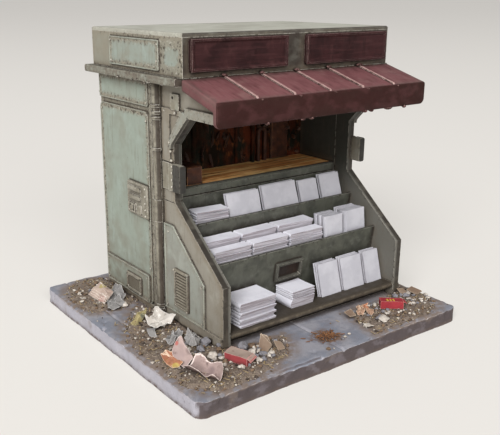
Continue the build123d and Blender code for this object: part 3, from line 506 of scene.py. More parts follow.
# What the solids that stay in sight are finished with, by their slot or by their own name
slot_finishes = {
    "plate_paint": paving, "rubble": mud, "sheet_litter": white_newsprint, "litter_card": red_card,
    "body_paint": sage, "roof_paint": roof_paint, "trim_paint": fitting_paint, "awning_paint": awning_paint,
    "sign_paint": sign_paint, "display_paint": display_paint, "wood_paint": wood,
    "interior_paint": interior_paint, "box_paint": rust_paint, "bundle_paper": newspaper,
}
node_finishes = {
    "left_flank": flank_paint, "right_flank": flank_paint, "awning_ribs": rib_paint,
    "left_flank_panel": flank_cover_paint, "right_flank_panel": flank_cover_paint,
    "left_awning_bracket": flank_cover_paint, "right_awning_bracket": flank_cover_paint,
    "back_wall": flank_cover_paint, "header_fascia": sage_header, "header_side_plates": sage_header,
    "left_drip_rail": gutter_paint, "right_drip_rail": gutter_paint, "kick_board": kick_shade_paint,
    "lower_tier": shelf_paint, "back_board": room_board_paint, "left_conduit": tube_paint,
    "right_conduit": tube_paint, "corner_strips": tube_paint,
}
for name, node in frame["nodes"].items():
    node.data.materials.clear()
    node.data.materials.append(node_finishes.get(name, slot_finishes[node_slots[name]]))

# Shapes, drawn in kiosk millimetres and then set in the frame

TO_FRAME = Matrix.Translation(placed((0, 0, 0))) @ Matrix.Scale(MM, 4)


def set_piece(name, shape, material, stands_for=(), sharp_degrees=40):
    """Sets a finished shape on the model's one body, with its material and the nodes it stands for."""
    bmesh.ops.recalc_face_normals(shape, faces=shape.faces[:])
    shape.transform(TO_FRAME)
    mesh = bpy.data.meshes.new(name)
    shape.to_mesh(mesh)
    shape.free()
    mesh.materials.append(material)
    mesh.shade_smooth()
    mesh.set_sharp_from_angle(angle=radians(sharp_degrees))
    thing = bpy.data.objects.new(name, mesh)
    bpy.context.scene.collection.objects.link(thing)
    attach(thing, "root")
    if stands_for:
        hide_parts(*stands_for)
    return thing


def turned(angle, axis):
    return Matrix.Rotation(angle, 4, axis)


def wobble(x, y, z, size, seed=0.0):
    """Smooth noise between about -1 and 1 with bumps of the given size."""
    return noise.noise(Vector((x / size + seed, y / size - seed, z / size + 2 * seed)))


def eased(value, low, high):
    """0 at low, 1 at high, smooth between."""
    t = min(1.0, max(0.0, (value - low) / (high - low)))
    return t * t * (3 - 2 * t)


def add_slab(shape, across, along, rim_rows, point):
    """A closed slab. point(u, v, h) gives a place on its lower skin, its rim or its upper skin."""

    def corner(i, j, h):
        return shape.verts.new(point(i / across, j / along, h))

    lower = [[corner(i, j, 0.0) for i in range(across + 1)] for j in range(along + 1)]
    upper = [[corner(i, j, 1.0) for i in range(across + 1)] for j in range(along + 1)]
    for j in range(along):
        for i in range(across):
            shape.faces.new((upper[j][i], upper[j][i + 1], upper[j + 1][i + 1], upper[j + 1][i]))
            shape.faces.new((lower[j][i], lower[j + 1][i], lower[j + 1][i + 1], lower[j][i + 1]))
    rim = [(i, 0) for i in range(across)] + [(across, j) for j in range(along)]
    rim += [(across - i, along) for i in range(across)] + [(0, along - j) for j in range(along)]
    rings = [[lower[j][i] for i, j in rim]]
    for row in range(1, rim_rows):
        rings.append([corner(i, j, row / rim_rows) for i, j in rim])
    rings.append([upper[j][i] for i, j in rim])
    for below, above in zip(rings, rings[1:]):
        for k in range(len(rim)):
            after = (k + 1) % len(rim)
            shape.faces.new((below[k], below[after], above[after], above[k]))


def add_lump(shape, centre, radii, rng, roughness=0.35, fineness=2):
    """A stone or a clod: a ball pushed about until no side is alike."""
    seed = rng.uniform(0, 99)
    turn = turned(rng.uniform(0, 2 * pi), "Z") @ turned(rng.uniform(-0.5, 0.5), "X")
    ball = bmesh.ops.create_icosphere(shape, subdivisions=fineness, radius=1.0)
    for vertex in ball["verts"]:
        x, y, z = vertex.co
        push = 1 + roughness * wobble(x, y, z, 0.9, seed)
        vertex.co = Vector(centre) + turn @ Vector((x * radii[0], y * radii[1], z * radii[2])) * push


# The sidewalk plate: cast plaster, with joints, pits and a ragged rim

PLATE_LEFT, PLATE_RIGHT = -44.5, 33.7
PLATE_FRONT, PLATE_BACK = -25.9, 46.5
PLATE_CORNER = 2.5
PLATE_RAG = 0.5
RAG_REACH = 5
# Joints in the paving: where each lies, and where it starts and ends
LONG_JOINTS = ((-5.9, -30, -8), (-38.4, -30, 50))
CROSS_JOINTS = ((24.0, -44, -36), (-1.5, -46, -38))
PITS = ((-41.6, 17.5), (-40.4, 22.0), (-40.0, 11.0), (-12.0, -22.5), (14.0, -24.0))


def groove(distance, width):
    """1 on a line or at a point, falling to 0 at twice the width."""
    return 1 - eased(abs(distance), 0.0, 2 * width)


def from_rim(x, y):
    return min(x - PLATE_LEFT, PLATE_RIGHT - x, y - PLATE_FRONT, PLATE_BACK - y)


def plate_point(u, v, h):
    x = PLATE_LEFT + (PLATE_RIGHT - PLATE_LEFT) * u
    y = PLATE_FRONT + (PLATE_BACK - PLATE_FRONT) * v
    # Rounded corners
    corner_x = min(max(x, PLATE_LEFT + PLATE_CORNER), PLATE_RIGHT - PLATE_CORNER)
    corner_y = min(max(y, PLATE_FRONT + PLATE_CORNER), PLATE_BACK - PLATE_CORNER)
    reach = Vector((x - corner_x, y - corner_y))
    if reach.length > PLATE_CORNER:
        reach *= PLATE_CORNER / reach.length
        x, y = corner_x + reach.x, corner_y + reach.y
    inwards = from_rim(x, y)
    # The rim wanders in and out, and its foot is a little wider than its top
    rag = PLATE_RAG * (0.5 + 0.5 * wobble(x, y, 0, 7))
    rag += 0.25 * (wobble(x, y, 3 * h, 1.6, 3) + 1) * (0.4 + 0.6 * h)
    pull = rag * max(0.0, 1 - inwards / RAG_REACH)
    if x - PLATE_LEFT < RAG_REACH:
        x += pull
    if PLATE_RIGHT - x < RAG_REACH:
        x -= pull
    if y - PLATE_FRONT < RAG_REACH:
        y += pull
    if PLATE_BACK - y < RAG_REACH:
        y -= pull
    if h < 1:
        return Vector((x, y, GROUND * h * 0.94))
    # Paving joints, a low swell, pits, and a broken top edge
    z = GROUND - 0.06 + 0.05 * wobble(x, y, 0, 6, 5) + 0.03 * wobble(x, y, 0, 1.1, 8)
    for joint, start, end in LONG_JOINTS:
        if start < y < end:
            z -= 0.28 * groove(x - joint - 0.25 * wobble(0, y, 0, 6), 0.22)
    for joint, start, end in CROSS_JOINTS:
        if start < x < end:
            z -= 0.2 * groove(y - joint - 0.2 * wobble(x, 0, 0, 4), 0.25)
    for pit_x, pit_y in PITS:
        z -= 0.35 * groove(Vector((x - pit_x, y - pit_y)).length, 0.45)
    chip = 0.22 + 0.6 * eased(wobble(x, y, 0, 2.6, 11), 0.25, 0.7)
    # The rim is broken deepest in front of the kiosk's left side
    if -24 < x < -12 and y < -20:
        chip += 0.35
    return Vector((x, y, z - chip * (1 - eased(inwards, 0.0, 0.9 + 0.5 * chip))))


plate_shape = bmesh.new()
add_slab(plate_shape, 180, 166, 7, plate_point)
plate = set_piece("cast_sidewalk_plate", plate_shape, paving, ["base_plate"], sharp_degrees=60)

# Mud and rubble over the plate, with none under the kiosk

MUD_MARGIN = 1.6
MUD_STEP = 0.42
NO_MUD_HALF_WIDTH = 25.5
NO_MUD_FRONT = -10
MUD_BEDS = [
    [(-40, 41), (-35, 45), (-28, 42), (-28, 25), (-34, 22), (-38, 23), (-43, 25), (-44, 33)],
    [(-36, 16), (-31, 21), (-27, 15), (-27, -4), (-24, -13), (-12, -12.5), (-16, -19), (-26, -24),
     (-36, -26), (-44, -18), (-44, -3), (-42, 6), (-39, 12)],
    [(6, -24), (7, -16), (9, -12.5), (22, -12.5), (29, -9), (34, -6), (34, -18), (24, -26)],
]


def depth_in_bed(x, y):
    """How far inside the nearest bed's outline a place lies. Outside, it is below zero."""
    deepest = -99.0
    for outline in MUD_BEDS:
        inside, nearest = False, 99.0
        for (ax, ay), (bx, by) in zip(outline, outline[1:] + outline[:1]):
            if (ay > y) != (by > y) and x < (bx - ax) * (y - ay) / (by - ay) + ax:
                inside = not inside
            run = Vector((bx - ax, by - ay))
            share = min(1.0, max(0.0, Vector((x - ax, y - ay)).dot(run) / run.length_squared))
            nearest = min(nearest, Vector((x - ax - run.x * share, y - ay - run.y * share)).length)
        deepest = max(deepest, nearest if inside else -nearest)
    return deepest


dust = plate.data.attributes.new("dust", "FLOAT", "POINT")
for vertex, spot in zip(plate.data.vertices, dust.data):
    x, y, z = TO_FRAME.inverted() @ vertex.co
    spot.value = eased(depth_in_bed(x, y), -4.0, -0.3) if z > 3 else 0.0


def mud_height(x, y):
    """The top of the mud, which sinks into the paving at its ragged shore."""
    shore = depth_in_bed(x, y) + 1.1 * wobble(x, y, 0, 3.0, 2) + 0.5 * wobble(x, y, 0, 1.0, 4)
    clods = 0.30 * wobble(x, y, 0, 2.2, 6) + 0.16 * wobble(x, y, 0, 0.8, 7) + 0.10 * wobble(x, y, 0, 0.4, 9)
    bed = 0.75 * eased(shore, -0.3, 2.2) * eased(from_rim(x, y), 0.9, 3.0)
    return GROUND - 0.25 + bed + clods * eased(shore, -0.2, 1.2)


def add_mud(shape):
    columns = int((PLATE_RIGHT - PLATE_LEFT) / MUD_STEP)
    rows = int((PLATE_BACK - PLATE_FRONT) / MUD_STEP)
    spots = {}
    for j in range(rows):
        for i in range(columns):
            x = PLATE_LEFT + MUD_MARGIN + i * MUD_STEP
            y = PLATE_FRONT + MUD_MARGIN + j * MUD_STEP
            if x > PLATE_RIGHT - MUD_MARGIN or y > PLATE_BACK - MUD_MARGIN or depth_in_bed(x, y) < -1.6:
                continue
            if abs(x) < NO_MUD_HALF_WIDTH and y > NO_MUD_FRONT:
                continue
            spots[i, j] = shape.verts.new((x, y, mud_height(x, y)))
    for i, j in spots:
        ring = [(i, j), (i + 1, j), (i + 1, j + 1), (i, j + 1)]
        if all(spot in spots for spot in ring):
            shape.faces.new([spots[spot] for spot in ring])


mud_shape = bmesh.new()
add_mud(mud_shape)
set_piece("mud_beds", mud_shape, mud, ["rubble_beds"], sharp_degrees=70)

# Grit and straw. A few bits stray over the clean paving, and most lie in the mud.
GRIT_COUNT = 1500
GRIT_MARGIN = 1.5
GRIT_SIZES = (0.13, 0.16, 0.2, 0.24, 0.3, 0.42)
GRIT_KINDS = ("pale_grit", "pale_grit", "brown_grit", "brown_grit", "brown_grit", "dark_grit")
STRAY_SHARE = 0.035
STRAW_SHARE = 0.22
bed_rng = Random(31)
grit_stones = {"pale_grit": pale_stone, "brown_grit": brown_stone, "dark_grit": dark_stone}
grit_shapes = {kind: bmesh.new() for kind in grit_stones}
straw_shape = bmesh.new()
placed_bits = 0
while placed_bits < GRIT_COUNT:
    x = bed_rng.uniform(PLATE_LEFT + GRIT_MARGIN, PLATE_RIGHT - GRIT_MARGIN)
    y = bed_rng.uniform(PLATE_FRONT + GRIT_MARGIN, PLATE_BACK - GRIT_MARGIN)
    if abs(x) < NO_MUD_HALF_WIDTH + 3 and y > NO_MUD_FRONT - 0.5:
        continue
    if depth_in_bed(x, y) < -0.4 and bed_rng.random() > STRAY_SHARE:
        continue
    placed_bits += 1
    z = max(mud_height(x, y), GROUND - 0.05)
    size = bed_rng.choice(GRIT_SIZES) * bed_rng.uniform(0.8, 1.2)
    if bed_rng.random() < STRAW_SHARE:
        length = bed_rng.uniform(0.5, 1.5)
        turn = Matrix.Translation((x, y, z + 0.12)) @ turned(bed_rng.uniform(0, pi), "Z")
        turn = turn @ turned(bed_rng.uniform(-0.45, 0.45), "Y")
        bend = bed_rng.uniform(-0.2, 0.2)

        def straw_point(u, v, h):
            across = (v - 0.5) * 0.17 * (1 - 0.5 * u)
            return turn @ Vector(((u - 0.5) * length, across, 0.07 * h + bend * (u - 0.5) ** 2))

        add_slab(straw_shape, 3, 1, 1, straw_point)
    else:
        kind = bed_rng.choice(GRIT_KINDS)
        high = size * bed_rng.uniform(0.5, 0.9)
        add_lump(grit_shapes[kind], (x, y, z + 0.4 * high), (size, size * 0.8, high), bed_rng, 0.6, 1)
for kind, shape in grit_shapes.items():
    set_piece(kind, shape, grit_stones[kind])
set_piece("straw_slivers", straw_shape, straw)

# Stones, seen one by one in the photograph: place, radius, height and which stone

STONES = [
    (-32.1, -8.8, 1.1, 0.9, "grey"), (-31.5, -12.3, 1.2, 1.0, "pale"), (-23.7, -12.9, 1.3, 1.5, "grey"),
    (-24.0, -16.2, 1.2, 1.1, "pale"), (11.8, -20.9, 1.4, 0.6, "pale"), (7.1, -20.4, 1.2, 0.5, "pale"),
    (-26.5, -12.6, 0.8, 0.8, "grey"), (-28.9, -11.0, 0.7, 0.6, "brown"), (-21.6, -13.0, 0.9, 0.9, "brown"),
    (-22.4, -18.0, 0.9, 0.8, "grey"), (-20.6, -18.8, 0.7, 0.6, "pale"), (-17.0, -13.2, 0.8, 0.9, "brown"),
    (-16.2, -14.6, 0.6, 0.5, "grey"), (-24.8, -19.2, 0.7, 0.6, "pale"), (-29.9, -19.6, 0.6, 0.5, "pale"),
    (-31.7, -16.9, 0.5, 0.5, "pale"), (-33.5, 22.9, 0.9, 0.8, "pale"), (-41.2, 30.2, 0.5, 0.4, "pale"),
    (-39.6, 38.2, 0.5, 0.4, "pale"), (26.5, -14.6, 0.7, 0.6, "grey"), (23.8, -18.6, 0.6, 0.5, "pale"),
    (28.0, -18.4, 0.6, 0.4, "pale"), (16.0, -21.6, 0.6, 0.4, "brown"), (14.4, -19.6, 0.5, 0.4, "pale"),
    (31.0, -13.0, 0.5, 0.5, "brown"), (24.6, -12.9, 0.8, 0.7, "grey"), (-1.4, -21.4, 0.45, 0.4, "pale"),
    (0.3, -20.9, 0.4, 0.4, "pale"), (-2.6, -21.8, 0.4, 0.35, "grey"), (-8.6, -23.6, 0.5, 0.4, "brown"),
    (-29.6, -6.8, 1.3, 1.4, "grey"), (-27.6, -9.8, 1.0, 1.1, "grey"), (-38.8, -1.0, 0.35, 0.4, "dark"),
    (-40.2, 1.6, 0.3, 0.3, "dark"), (-35.0, -3.5, 0.35, 0.3, "dark"),
]
# Where small stones are heaped: left, right, front and back of the heap, and how many
STONE_HEAPS = [
    (-31, -19, -20, -12, 46), (-36, -29, -14, 2, 26), (10, 32, -21, -13, 60), (-40, -32, 24, 40, 16),
]
stone_rng = Random(7)
stone_materials = {"pale": pale_stone, "grey": grey_stone, "brown": brown_stone, "dark": dark_stone}
stone_shapes = {kind: bmesh.new() for kind in stone_materials}
for x, y, radius, height, kind in STONES:
    seat = max(mud_height(x, y), GROUND - 0.1)
    radii = (radius, radius * stone_rng.uniform(0.7, 0.95), height * 0.75)
    add_lump(stone_shapes[kind], (x, y, seat + height * 0.45), radii, stone_rng, 0.55, 3)
for left, right, front, back, count in STONE_HEAPS:
    for _ in range(count):
        x, y = stone_rng.uniform(left, right), stone_rng.uniform(front, back)
        if depth_in_bed(x, y) < 0.3:
            continue
        radius = stone_rng.uniform(0.3, 0.75)
        kind = stone_rng.choice(("pale", "pale", "grey", "grey", "brown"))
        radii = (radius, 0.8 * radius, radius * stone_rng.uniform(0.5, 0.8))
        add_lump(stone_shapes[kind], (x, y, mud_height(x, y) + 0.4 * radii[2]), radii, stone_rng, 0.55, 2)
for kind, shape in stone_shapes.items():
    set_piece(kind + "_stones", shape, stone_materials[kind], sharp_degrees=28)

# Rusty straw and chips spilt on the clean paving in front
spill_shape = bmesh.new()
for _ in range(120):
    away = abs(stone_rng.gauss(0, 1.5))
    angle = stone_rng.uniform(0, 2 * pi)
    x, y = -4.6 + 1.5 * away * cos(angle), -18.9 + 0.9 * away * sin(angle)
    z = GROUND + 0.1 + 0.35 * max(0.0, 1 - away / 2)
    turn = Matrix.Translation((x, y, z)) @ turned(angle + stone_rng.uniform(-0.5, 0.5), "Z")
    turn = turn @ turned(stone_rng.uniform(-0.3, 0.3), "Y")
    length, width = stone_rng.uniform(0.5, 1.7), stone_rng.uniform(0.12, 0.34)

    def chip_point(u, v, h):
        return turn @ Vector(((u - 0.5) * length, (v - 0.5) * width * (1 - 0.5 * u), 0.1 * h))

    add_slab(spill_shape, 2, 1, 1, chip_point)
set_piece("rusty_spill", spill_shape, rusty_bits)

# Newspapers: each is a thin slab with a round fold on its left and sheet edges that wander

LOWER_SHELF = 7.0
MIDDLE_SHELF = 18.2
TOP_SHELF = 25.2
PACK_LIFT = 0.05


def add_newspaper(shape, place, width, depth, low, high, rng, lift=0.12, undercut=0.0):
    corners = [rng.uniform(0, lift) for _ in range(4)]
    seed = rng.uniform(0, 99)
    thick = high - low

    def point(u, v, h):
        raised = corners[0] * ((1 - u) * (1 - v)) ** 2 + corners[1] * (u * (1 - v)) ** 2
        raised += corners[2] * ((1 - u) * v) ** 2 + corners[3] * (u * v) ** 2
        x, y = u * width, v * depth
        wander = 0.07 * wobble(3 * u, 3 * v, 7 * h, 1.0, seed)
        if u in (0.0, 1.0):
            x += wander
        if v in (0.0, 1.0):
            y += wander
        if u == 0.0:
            x -= 0.2 * thick * sin(pi * h)
        if u == 1.0:
            x -= undercut * (1 - h)
        if v == 0.0:
            y += undercut * (1 - h)
        z = low + thick * h + raised + 0.05 * wobble(x, y, 0, 3, seed)
        return place @ Vector((x, y, z))

    add_slab(shape, 8, 6, 4, point)


def add_stack(shape, corner, size, heights, turn, rng, slip=0.22, ledge=0.0):
    """Newspapers stacked flat from the corner's height upwards, none quite in line with the next.

    Every second one sticks out at the front by the ledge.
    """
    x, y, bottom = corner
    for index, height in enumerate(heights):
        front = y - ledge * (index % 2) + rng.uniform(-slip, slip) * 0.7
        place = Matrix.Translation((x + rng.uniform(-slip, slip), front, bottom))
        place = place @ turned(radians(turn + rng.uniform(-1.2, 1.2)), "Z")
        add_newspaper(shape, place, size[0], size[1], 0.0, height - 0.12, rng, 0.1, min(0.26, 0.24 * height))
        bottom += height


def add_pack(shape, span, front, foot, height, lean, layers, rng):
    """Newspapers leaning back against a riser, the nearest first, each later one slipped left and up."""
    tilt = turned(radians(90 - lean), "X")
    behind = 0.0
    for index, thick in enumerate(layers):
        slip = -0.28 * index + rng.uniform(-0.05, 0.05)
        rise = 0.22 * index + rng.uniform(-0.05, 0.05)
        place = Matrix.Translation((span[0] + 0.3 * len(layers) + slip, front, foot)) @ tilt
        place = place @ turned(radians(rng.uniform(-0.8, 0.8)), "Z")
        wide = span[1] - span[0] - 0.3 * len(layers)
        add_newspaper(shape, place, wide, height + rise, -behind - thick, -behind - 0.05, rng, 0.06)
        behind += thick


paper_rng = Random(5)
top_stack = bmesh.new()
add_stack(top_stack, (-22.0, 7.3, TOP_SHELF), (8.7, 4.0), [0.7] + 6 * [0.6], -4, paper_rng, 0.15, 0.25)
set_piece("newspaper_stack_top", top_stack, newspaper, ["top_pile"])

middle_stacks = bmesh.new()
for left, right in ((-23.6, -13.0), (-12.7, -1.9), (-1.5, 9.3)):
    heights = (1.5, 0.55, 0.7, 0.6, 1.25)
    if left > -2:
        heights = (0.9, 0.75, 0.7, 0.55, 0.5, 1.2)
    size = (right - left - 0.5, 2.9)
    add_stack(middle_stacks, (left + 0.3, -2.0, MIDDLE_SHELF), size, heights, 0, paper_rng, 0.12)
set_piece("newspaper_stacks_front", middle_stacks, newspaper, ["middle_piles_front"])
back_stacks = bmesh.new()
for left, right in ((-23.4, -13.8), (-13.3, -2.7), (-2.3, 9.2)):
    size = (right - left - 0.4, 3.8)
    add_stack(back_stacks, (left + 0.3, 1.4, MIDDLE_SHELF), size, (1.5, 1.4, 1.4, 1.7), 0, paper_rng, 0.12)
set_piece("newspaper_stacks_back", back_stacks, newspaper, ["middle_piles_back"])

lower_stacks = bmesh.new()
heights = (0.6, 0.85, 0.6, 0.95, 0.6, 0.9, 1.4)
add_stack(lower_stacks, (-22.1, -10.1, LOWER_SHELF), (10.1, 7.2), heights, 1, paper_rng, 0.12, -0.5)
add_stack(lower_stacks, (-5.9, -8.6, LOWER_SHELF), (7.0, 6.0), (2.3, 0.5, 0.5, 0.5, 0.5), 1, paper_rng, 0.12)
set_piece("newspaper_stacks_low", lower_stacks, newspaper, ["lower_piles"])

top_packs = bmesh.new()
for span, height in (((-13.0, -2.8), 7.1), ((-2.2, 9.2), 7.5), ((9.8, 16.4), 7.0), ((17.0, 24.4), 7.6)):
    add_pack(top_packs, span, 6.8, TOP_SHELF + PACK_LIFT, height, 18, (0.5, 0.35), paper_rng)
set_piece("newspaper_packs_top", top_packs, shaded_standing_newspaper, ["top_display"])
middle_packs = bmesh.new()
add_pack(middle_packs, (9.6, 16.0), -2.1, MIDDLE_SHELF + PACK_LIFT, 6.7, 5, (1.5, 1.3, 1.2), paper_rng)
add_pack(middle_packs, (16.7, 23.9), -2.1, MIDDLE_SHELF + PACK_LIFT, 7.0, 5, (3.2, 0.5, 0.5), paper_rng)
set_piece("newspaper_packs_middle", middle_packs, shaded_standing_newspaper, ["middle_display"])
lower_packs = bmesh.new()
for span in ((3.7, 10.9), (11.2, 18.9), (19.2, 25.2)):
    add_pack(lower_packs, span, -7.6, LOWER_SHELF + PACK_LIFT, 8.1, 15, (0.5, 0.35, 0.3), paper_rng)
set_piece("newspaper_packs_low", lower_packs, shaded_standing_newspaper, ["lower_display"])

# Crumpled sheets on the ground, each drawn between lines of points taken along it


def curve_through(points, steps):
    """Points along a smooth curve through the given ones."""
    ends = [points[0]] + list(points) + [points[-1]]
    line = []
    for a, b, c, d in zip(ends, ends[1:], ends[2:], ends[3:]):
        a, b, c, d = Vector(a), Vector(b), Vector(c), Vector(d)
        for k in range(steps):
            t = k / steps
            bend = (2 * a - 5 * b + 4 * c - d) * t ** 2 + (3 * b - a - 3 * c + d) * t ** 3
            line.append(0.5 * (2 * b + (c - a) * t + bend))
    line.append(Vector(points[-1]))
    return line


def add_sheet(shape, lines, thick=0.16, steps=5, crease=0.25, seed=0.0):
    """A creased sheet of paper that passes through every line of points."""
    ribs = [curve_through(line, steps) for line in lines]
    columns = [curve_through([rib[k] for rib in ribs], steps) for k in range(len(ribs[0]))]
    across, along = len(columns) - 1, len(columns[0]) - 1

    def point(u, v, h):
        here = columns[round(u * across)][round(v * along)]
        fold = abs(wobble(here.x, here.y, here.z, 1.7, seed)) - 0.25
        torn = 0.12 * wobble(here.x, here.y, here.z, 0.5, seed + 1) if u in (0, 1) or v in (0, 1) else 0.0
        return Vector((here.x + torn, here.y + torn, max(here.z + crease * fold, GROUND) + thick * (h - 0.5)))

    add_slab(shape, across, along, 1, point)


def add_leaf(shape, centre, corners, seed, crease=0.3, rings=6, thick=0.16, steps=6):
    """A torn scrap with straight edges. Creases run from its middle to its corners, which turn up or down."""
    rim = []
    for start, end in zip(corners, corners[1:] + corners[:1]):
        rim += [Vector(start).lerp(Vector(end), k / steps) for k in range(steps)]
    middle = Vector(centre)
    skins = []
    for skin in (0, 1):
        rows = [[shape.verts.new(middle + Vector((0, 0, thick * (skin - 0.5))))]]
        for ring in range(1, rings + 1):
            share = ring / rings
            row = []
            for k, edge in enumerate(rim):
                spot = middle.lerp(edge, share)
                fold = crease * share * cos(2 * pi * k / steps) * (0.6 + 0.4 * wobble(k, seed, 0, 3))
                fold += 1.5 * crease * (abs(wobble(spot.x, spot.y, 0, 1.9, seed + 7)) - 0.22)
                torn = 0.14 * share * wobble(spot.x, spot.y, 0, 0.6, seed)
                dent = 0.18 * wobble(spot.x, spot.y, 0, 1.3, seed + 3)
                spot += Vector((torn, torn, fold + dent + thick * (skin - 0.5)))
                spot.z = max(spot.z, GROUND + 0.1)
                row.append(shape.verts.new(spot))
            rows.append(row)
        skins.append(rows)
        for k in range(len(rim)):
            after = (k + 1) % len(rim)
            shape.faces.new((rows[0][0], rows[1][k], rows[1][after]))
            for inner, outer in zip(rows[1:], rows[2:]):
                shape.faces.new((inner[k], outer[k], outer[after], inner[after]))
    for k in range(len(rim)):
        after = (k + 1) % len(rim)
        shape.faces.new((skins[0][-1][k], skins[0][-1][after], skins[1][-1][after], skins[1][-1][k]))


def set_sheet(name, shape, material):
    set_piece(name, shape, material, ["crumpled_papers"], 25)


orange_flyer = bmesh.new()
add_leaf(orange_flyer, (-40.0, -9.4, 5.6), [
    (-40.6, -6.2, 4.9), (-41.4, -9.3, 4.5), (-41.2, -12.0, 4.4), (-39.1, -12.6, 5.0), (-38.9, -9.6, 6.4),
    (-40.3, -7.6, 6.4),
], 1)
set_sheet("orange_flyer", orange_flyer, torn_flyer)
pink_sheet = bmesh.new()
add_sheet(pink_sheet, [
    [(-38.7, -8.8, 8.0), (-39.6, -9.2, 6.2), (-39.6, -11.2, 4.9), (-39.3, -13.3, 4.4)],
    [(-38.2, -9.5, 9.4), (-38.7, -10.1, 7.6), (-38.4, -11.8, 5.9), (-38.4, -13.3, 4.9)],
    [(-37.6, -9.9, 9.6), (-37.8, -11.0, 8.6), (-37.4, -12.5, 7.2), (-37.5, -13.8, 6.2)],
    [(-37.0, -10.6, 7.4), (-36.8, -11.9, 5.9), (-36.5, -13.2, 5.0), (-36.8, -14.4, 5.2)],
], seed=1)
add_sheet(pink_sheet, [
    [(-39.4, -13.2, 4.9), (-39.4, -15.4, 5.9), (-38.6, -17.2, 5.4), (-37.8, -19.0, 4.5), (-37.4, -20.6, 5.6),
     (-36.8, -21.9, 5.0)],
    [(-38.8, -13.6, 4.5), (-38.3, -15.6, 4.3), (-37.7, -17.2, 4.4), (-37.0, -18.9, 4.3), (-36.6, -20.6, 4.4),
     (-36.4, -21.9, 4.6)],
    [(-37.9, -13.9, 5.4), (-37.2, -15.6, 4.7), (-36.5, -17.2, 4.4), (-35.9, -18.8, 4.9), (-35.7, -20.5, 5.4),
     (-35.9, -21.9, 5.6)],
    [(-37.2, -14.4, 7.5), (-36.4, -15.8, 7.6), (-35.6, -17.3, 6.2), (-35.0, -18.8, 6.8), (-34.9, -20.4, 7.4),
     (-35.5, -21.7, 7.0)],
], seed=2)
set_sheet("pink_newspaper", pink_sheet, pink_newsprint)
white_sheet = bmesh.new()
add_leaf(white_sheet, (-32.9, 7.2, 5.1), [
    (-31.2, 11.8, 6.8), (-33.0, 10.4, 5.2), (-34.8, 10.3, 6.1), (-35.7, 6.6, 4.9), (-33.7, 4.1, 5.6),
    (-32.4, 5.2, 4.7), (-29.8, 4.8, 6.9),
], 2, 0.55, 8)
set_sheet("white_sheets", white_sheet, white_newsprint)
yellow_sheet = bmesh.new()
add_leaf(yellow_sheet, (-35.4, 12.2, 5.3), [
    (-37.9, 11.6, 4.4), (-37.2, 10.2, 4.3), (-33.9, 12.2, 4.6), (-32.1, 14.0, 5.8), (-34.8, 13.8, 5.5),
], 4, 0.25)
set_sheet("yellow_leaf", yellow_sheet, yellow_newsprint)
grey_sheets = bmesh.new()
add_sheet(grey_sheets, [
    [(-36.4, 6.6, 4.8), (-37.2, 5.3, 5.0), (-37.6, 3.2, 4.2)],
    [(-34.8, 5.2, 5.0), (-35.8, 4.2, 5.2), (-36.2, 2.6, 4.2)],
], seed=3, crease=0.15)
# Each scrap is its middle followed by its corners
GREY_SCRAPS = [
    [(-35.2, -1.6, 4.9), (-34.9, 0.4, 4.6), (-36.3, -1.0, 4.8), (-36.0, -3.4, 4.4), (-34.6, -3.0, 5.9),
     (-34.0, -0.6, 6.2)],
    [(-33.4, -1.4, 5.2), (-33.4, 0.6, 4.8), (-34.6, -1.0, 5.8), (-34.0, -3.2, 4.4), (-32.6, -2.6, 6.4),
     (-32.4, -0.4, 6.2)],
    [(-31.4, -4.4, 6.2), (-31.4, -2.6, 6.9), (-32.8, -3.4, 5.2), (-33.0, -5.6, 4.5), (-31.8, -6.8, 4.6),
     (-30.1, -5.6, 4.8), (-29.9, -3.6, 5.4)],
    [(-30.4, -3.4, 5.9), (-30.0, -2.0, 4.6), (-31.2, -3.2, 6.4), (-30.8, -5.2, 5.8), (-29.4, -5.0, 4.5)],
    [(-33.2, 28.4, 5.6), (-31.7, 30.6, 6.4), (-34.0, 30.6, 4.6), (-35.8, 27.2, 4.5), (-34.6, 24.4, 4.4),
     (-31.5, 25.4, 4.8), (-31.2, 28.2, 6.6)],
    [(-35.4, 23.9, 4.8), (-33.4, 25.2, 5.8), (-36.6, 25.6, 4.8), (-38.2, 22.4, 4.3), (-35.4, 21.6, 4.3),
     (-33.2, 23.0, 4.5)],
]
ORANGE_SCRAPS = [
    [(11.2, -14.2, 5.4), (11.6, -12.6, 4.5), (10.0, -13.6, 5.0), (10.2, -15.6, 4.4), (12.2, -15.4, 5.9),
     (12.8, -13.6, 5.2)],
    [(12.0, -16.0, 5.0), (12.9, -14.8, 5.0), (11.4, -15.2, 5.8), (10.6, -17.0, 4.4), (12.0, -17.6, 4.3),
     (13.2, -16.4, 4.6)],
    [(9.7, -15.2, 4.8), (10.4, -14.2, 5.4), (8.8, -14.8, 4.6), (8.9, -16.4, 4.3), (10.4, -16.2, 4.9)],
]
for seed, (centre, *corners) in enumerate(GREY_SCRAPS):
    add_leaf(grey_sheets, centre, corners, 5 + seed, 0.45)
set_sheet("grey_sheets", grey_sheets, grey_newsprint)
magazine = bmesh.new()
magazine_corners = [(-38.0, 33.4, 4.4), (-37.5, 25.4, 4.3), (-35.3, 27.2, 4.9), (-35.6, 33.9, 5.3)]
for layer in range(4):
    slip = 0.42 * layer
    corners = [(x + slip, y, z + slip) for x, y, z in magazine_corners]
    add_leaf(magazine, (-36.6 + slip, 29.8, 5.1 + slip), corners, 8 + layer * 0.1, 0.12, thick=0.22)
set_sheet("folded_magazine", magazine, magazine_print)
orange_scrap = bmesh.new()
for seed, (centre, *corners) in enumerate(ORANGE_SCRAPS):
    add_leaf(orange_scrap, centre, corners, 30 + seed, 0.45)
set_piece("orange_scrap", orange_scrap, orange_newsprint)
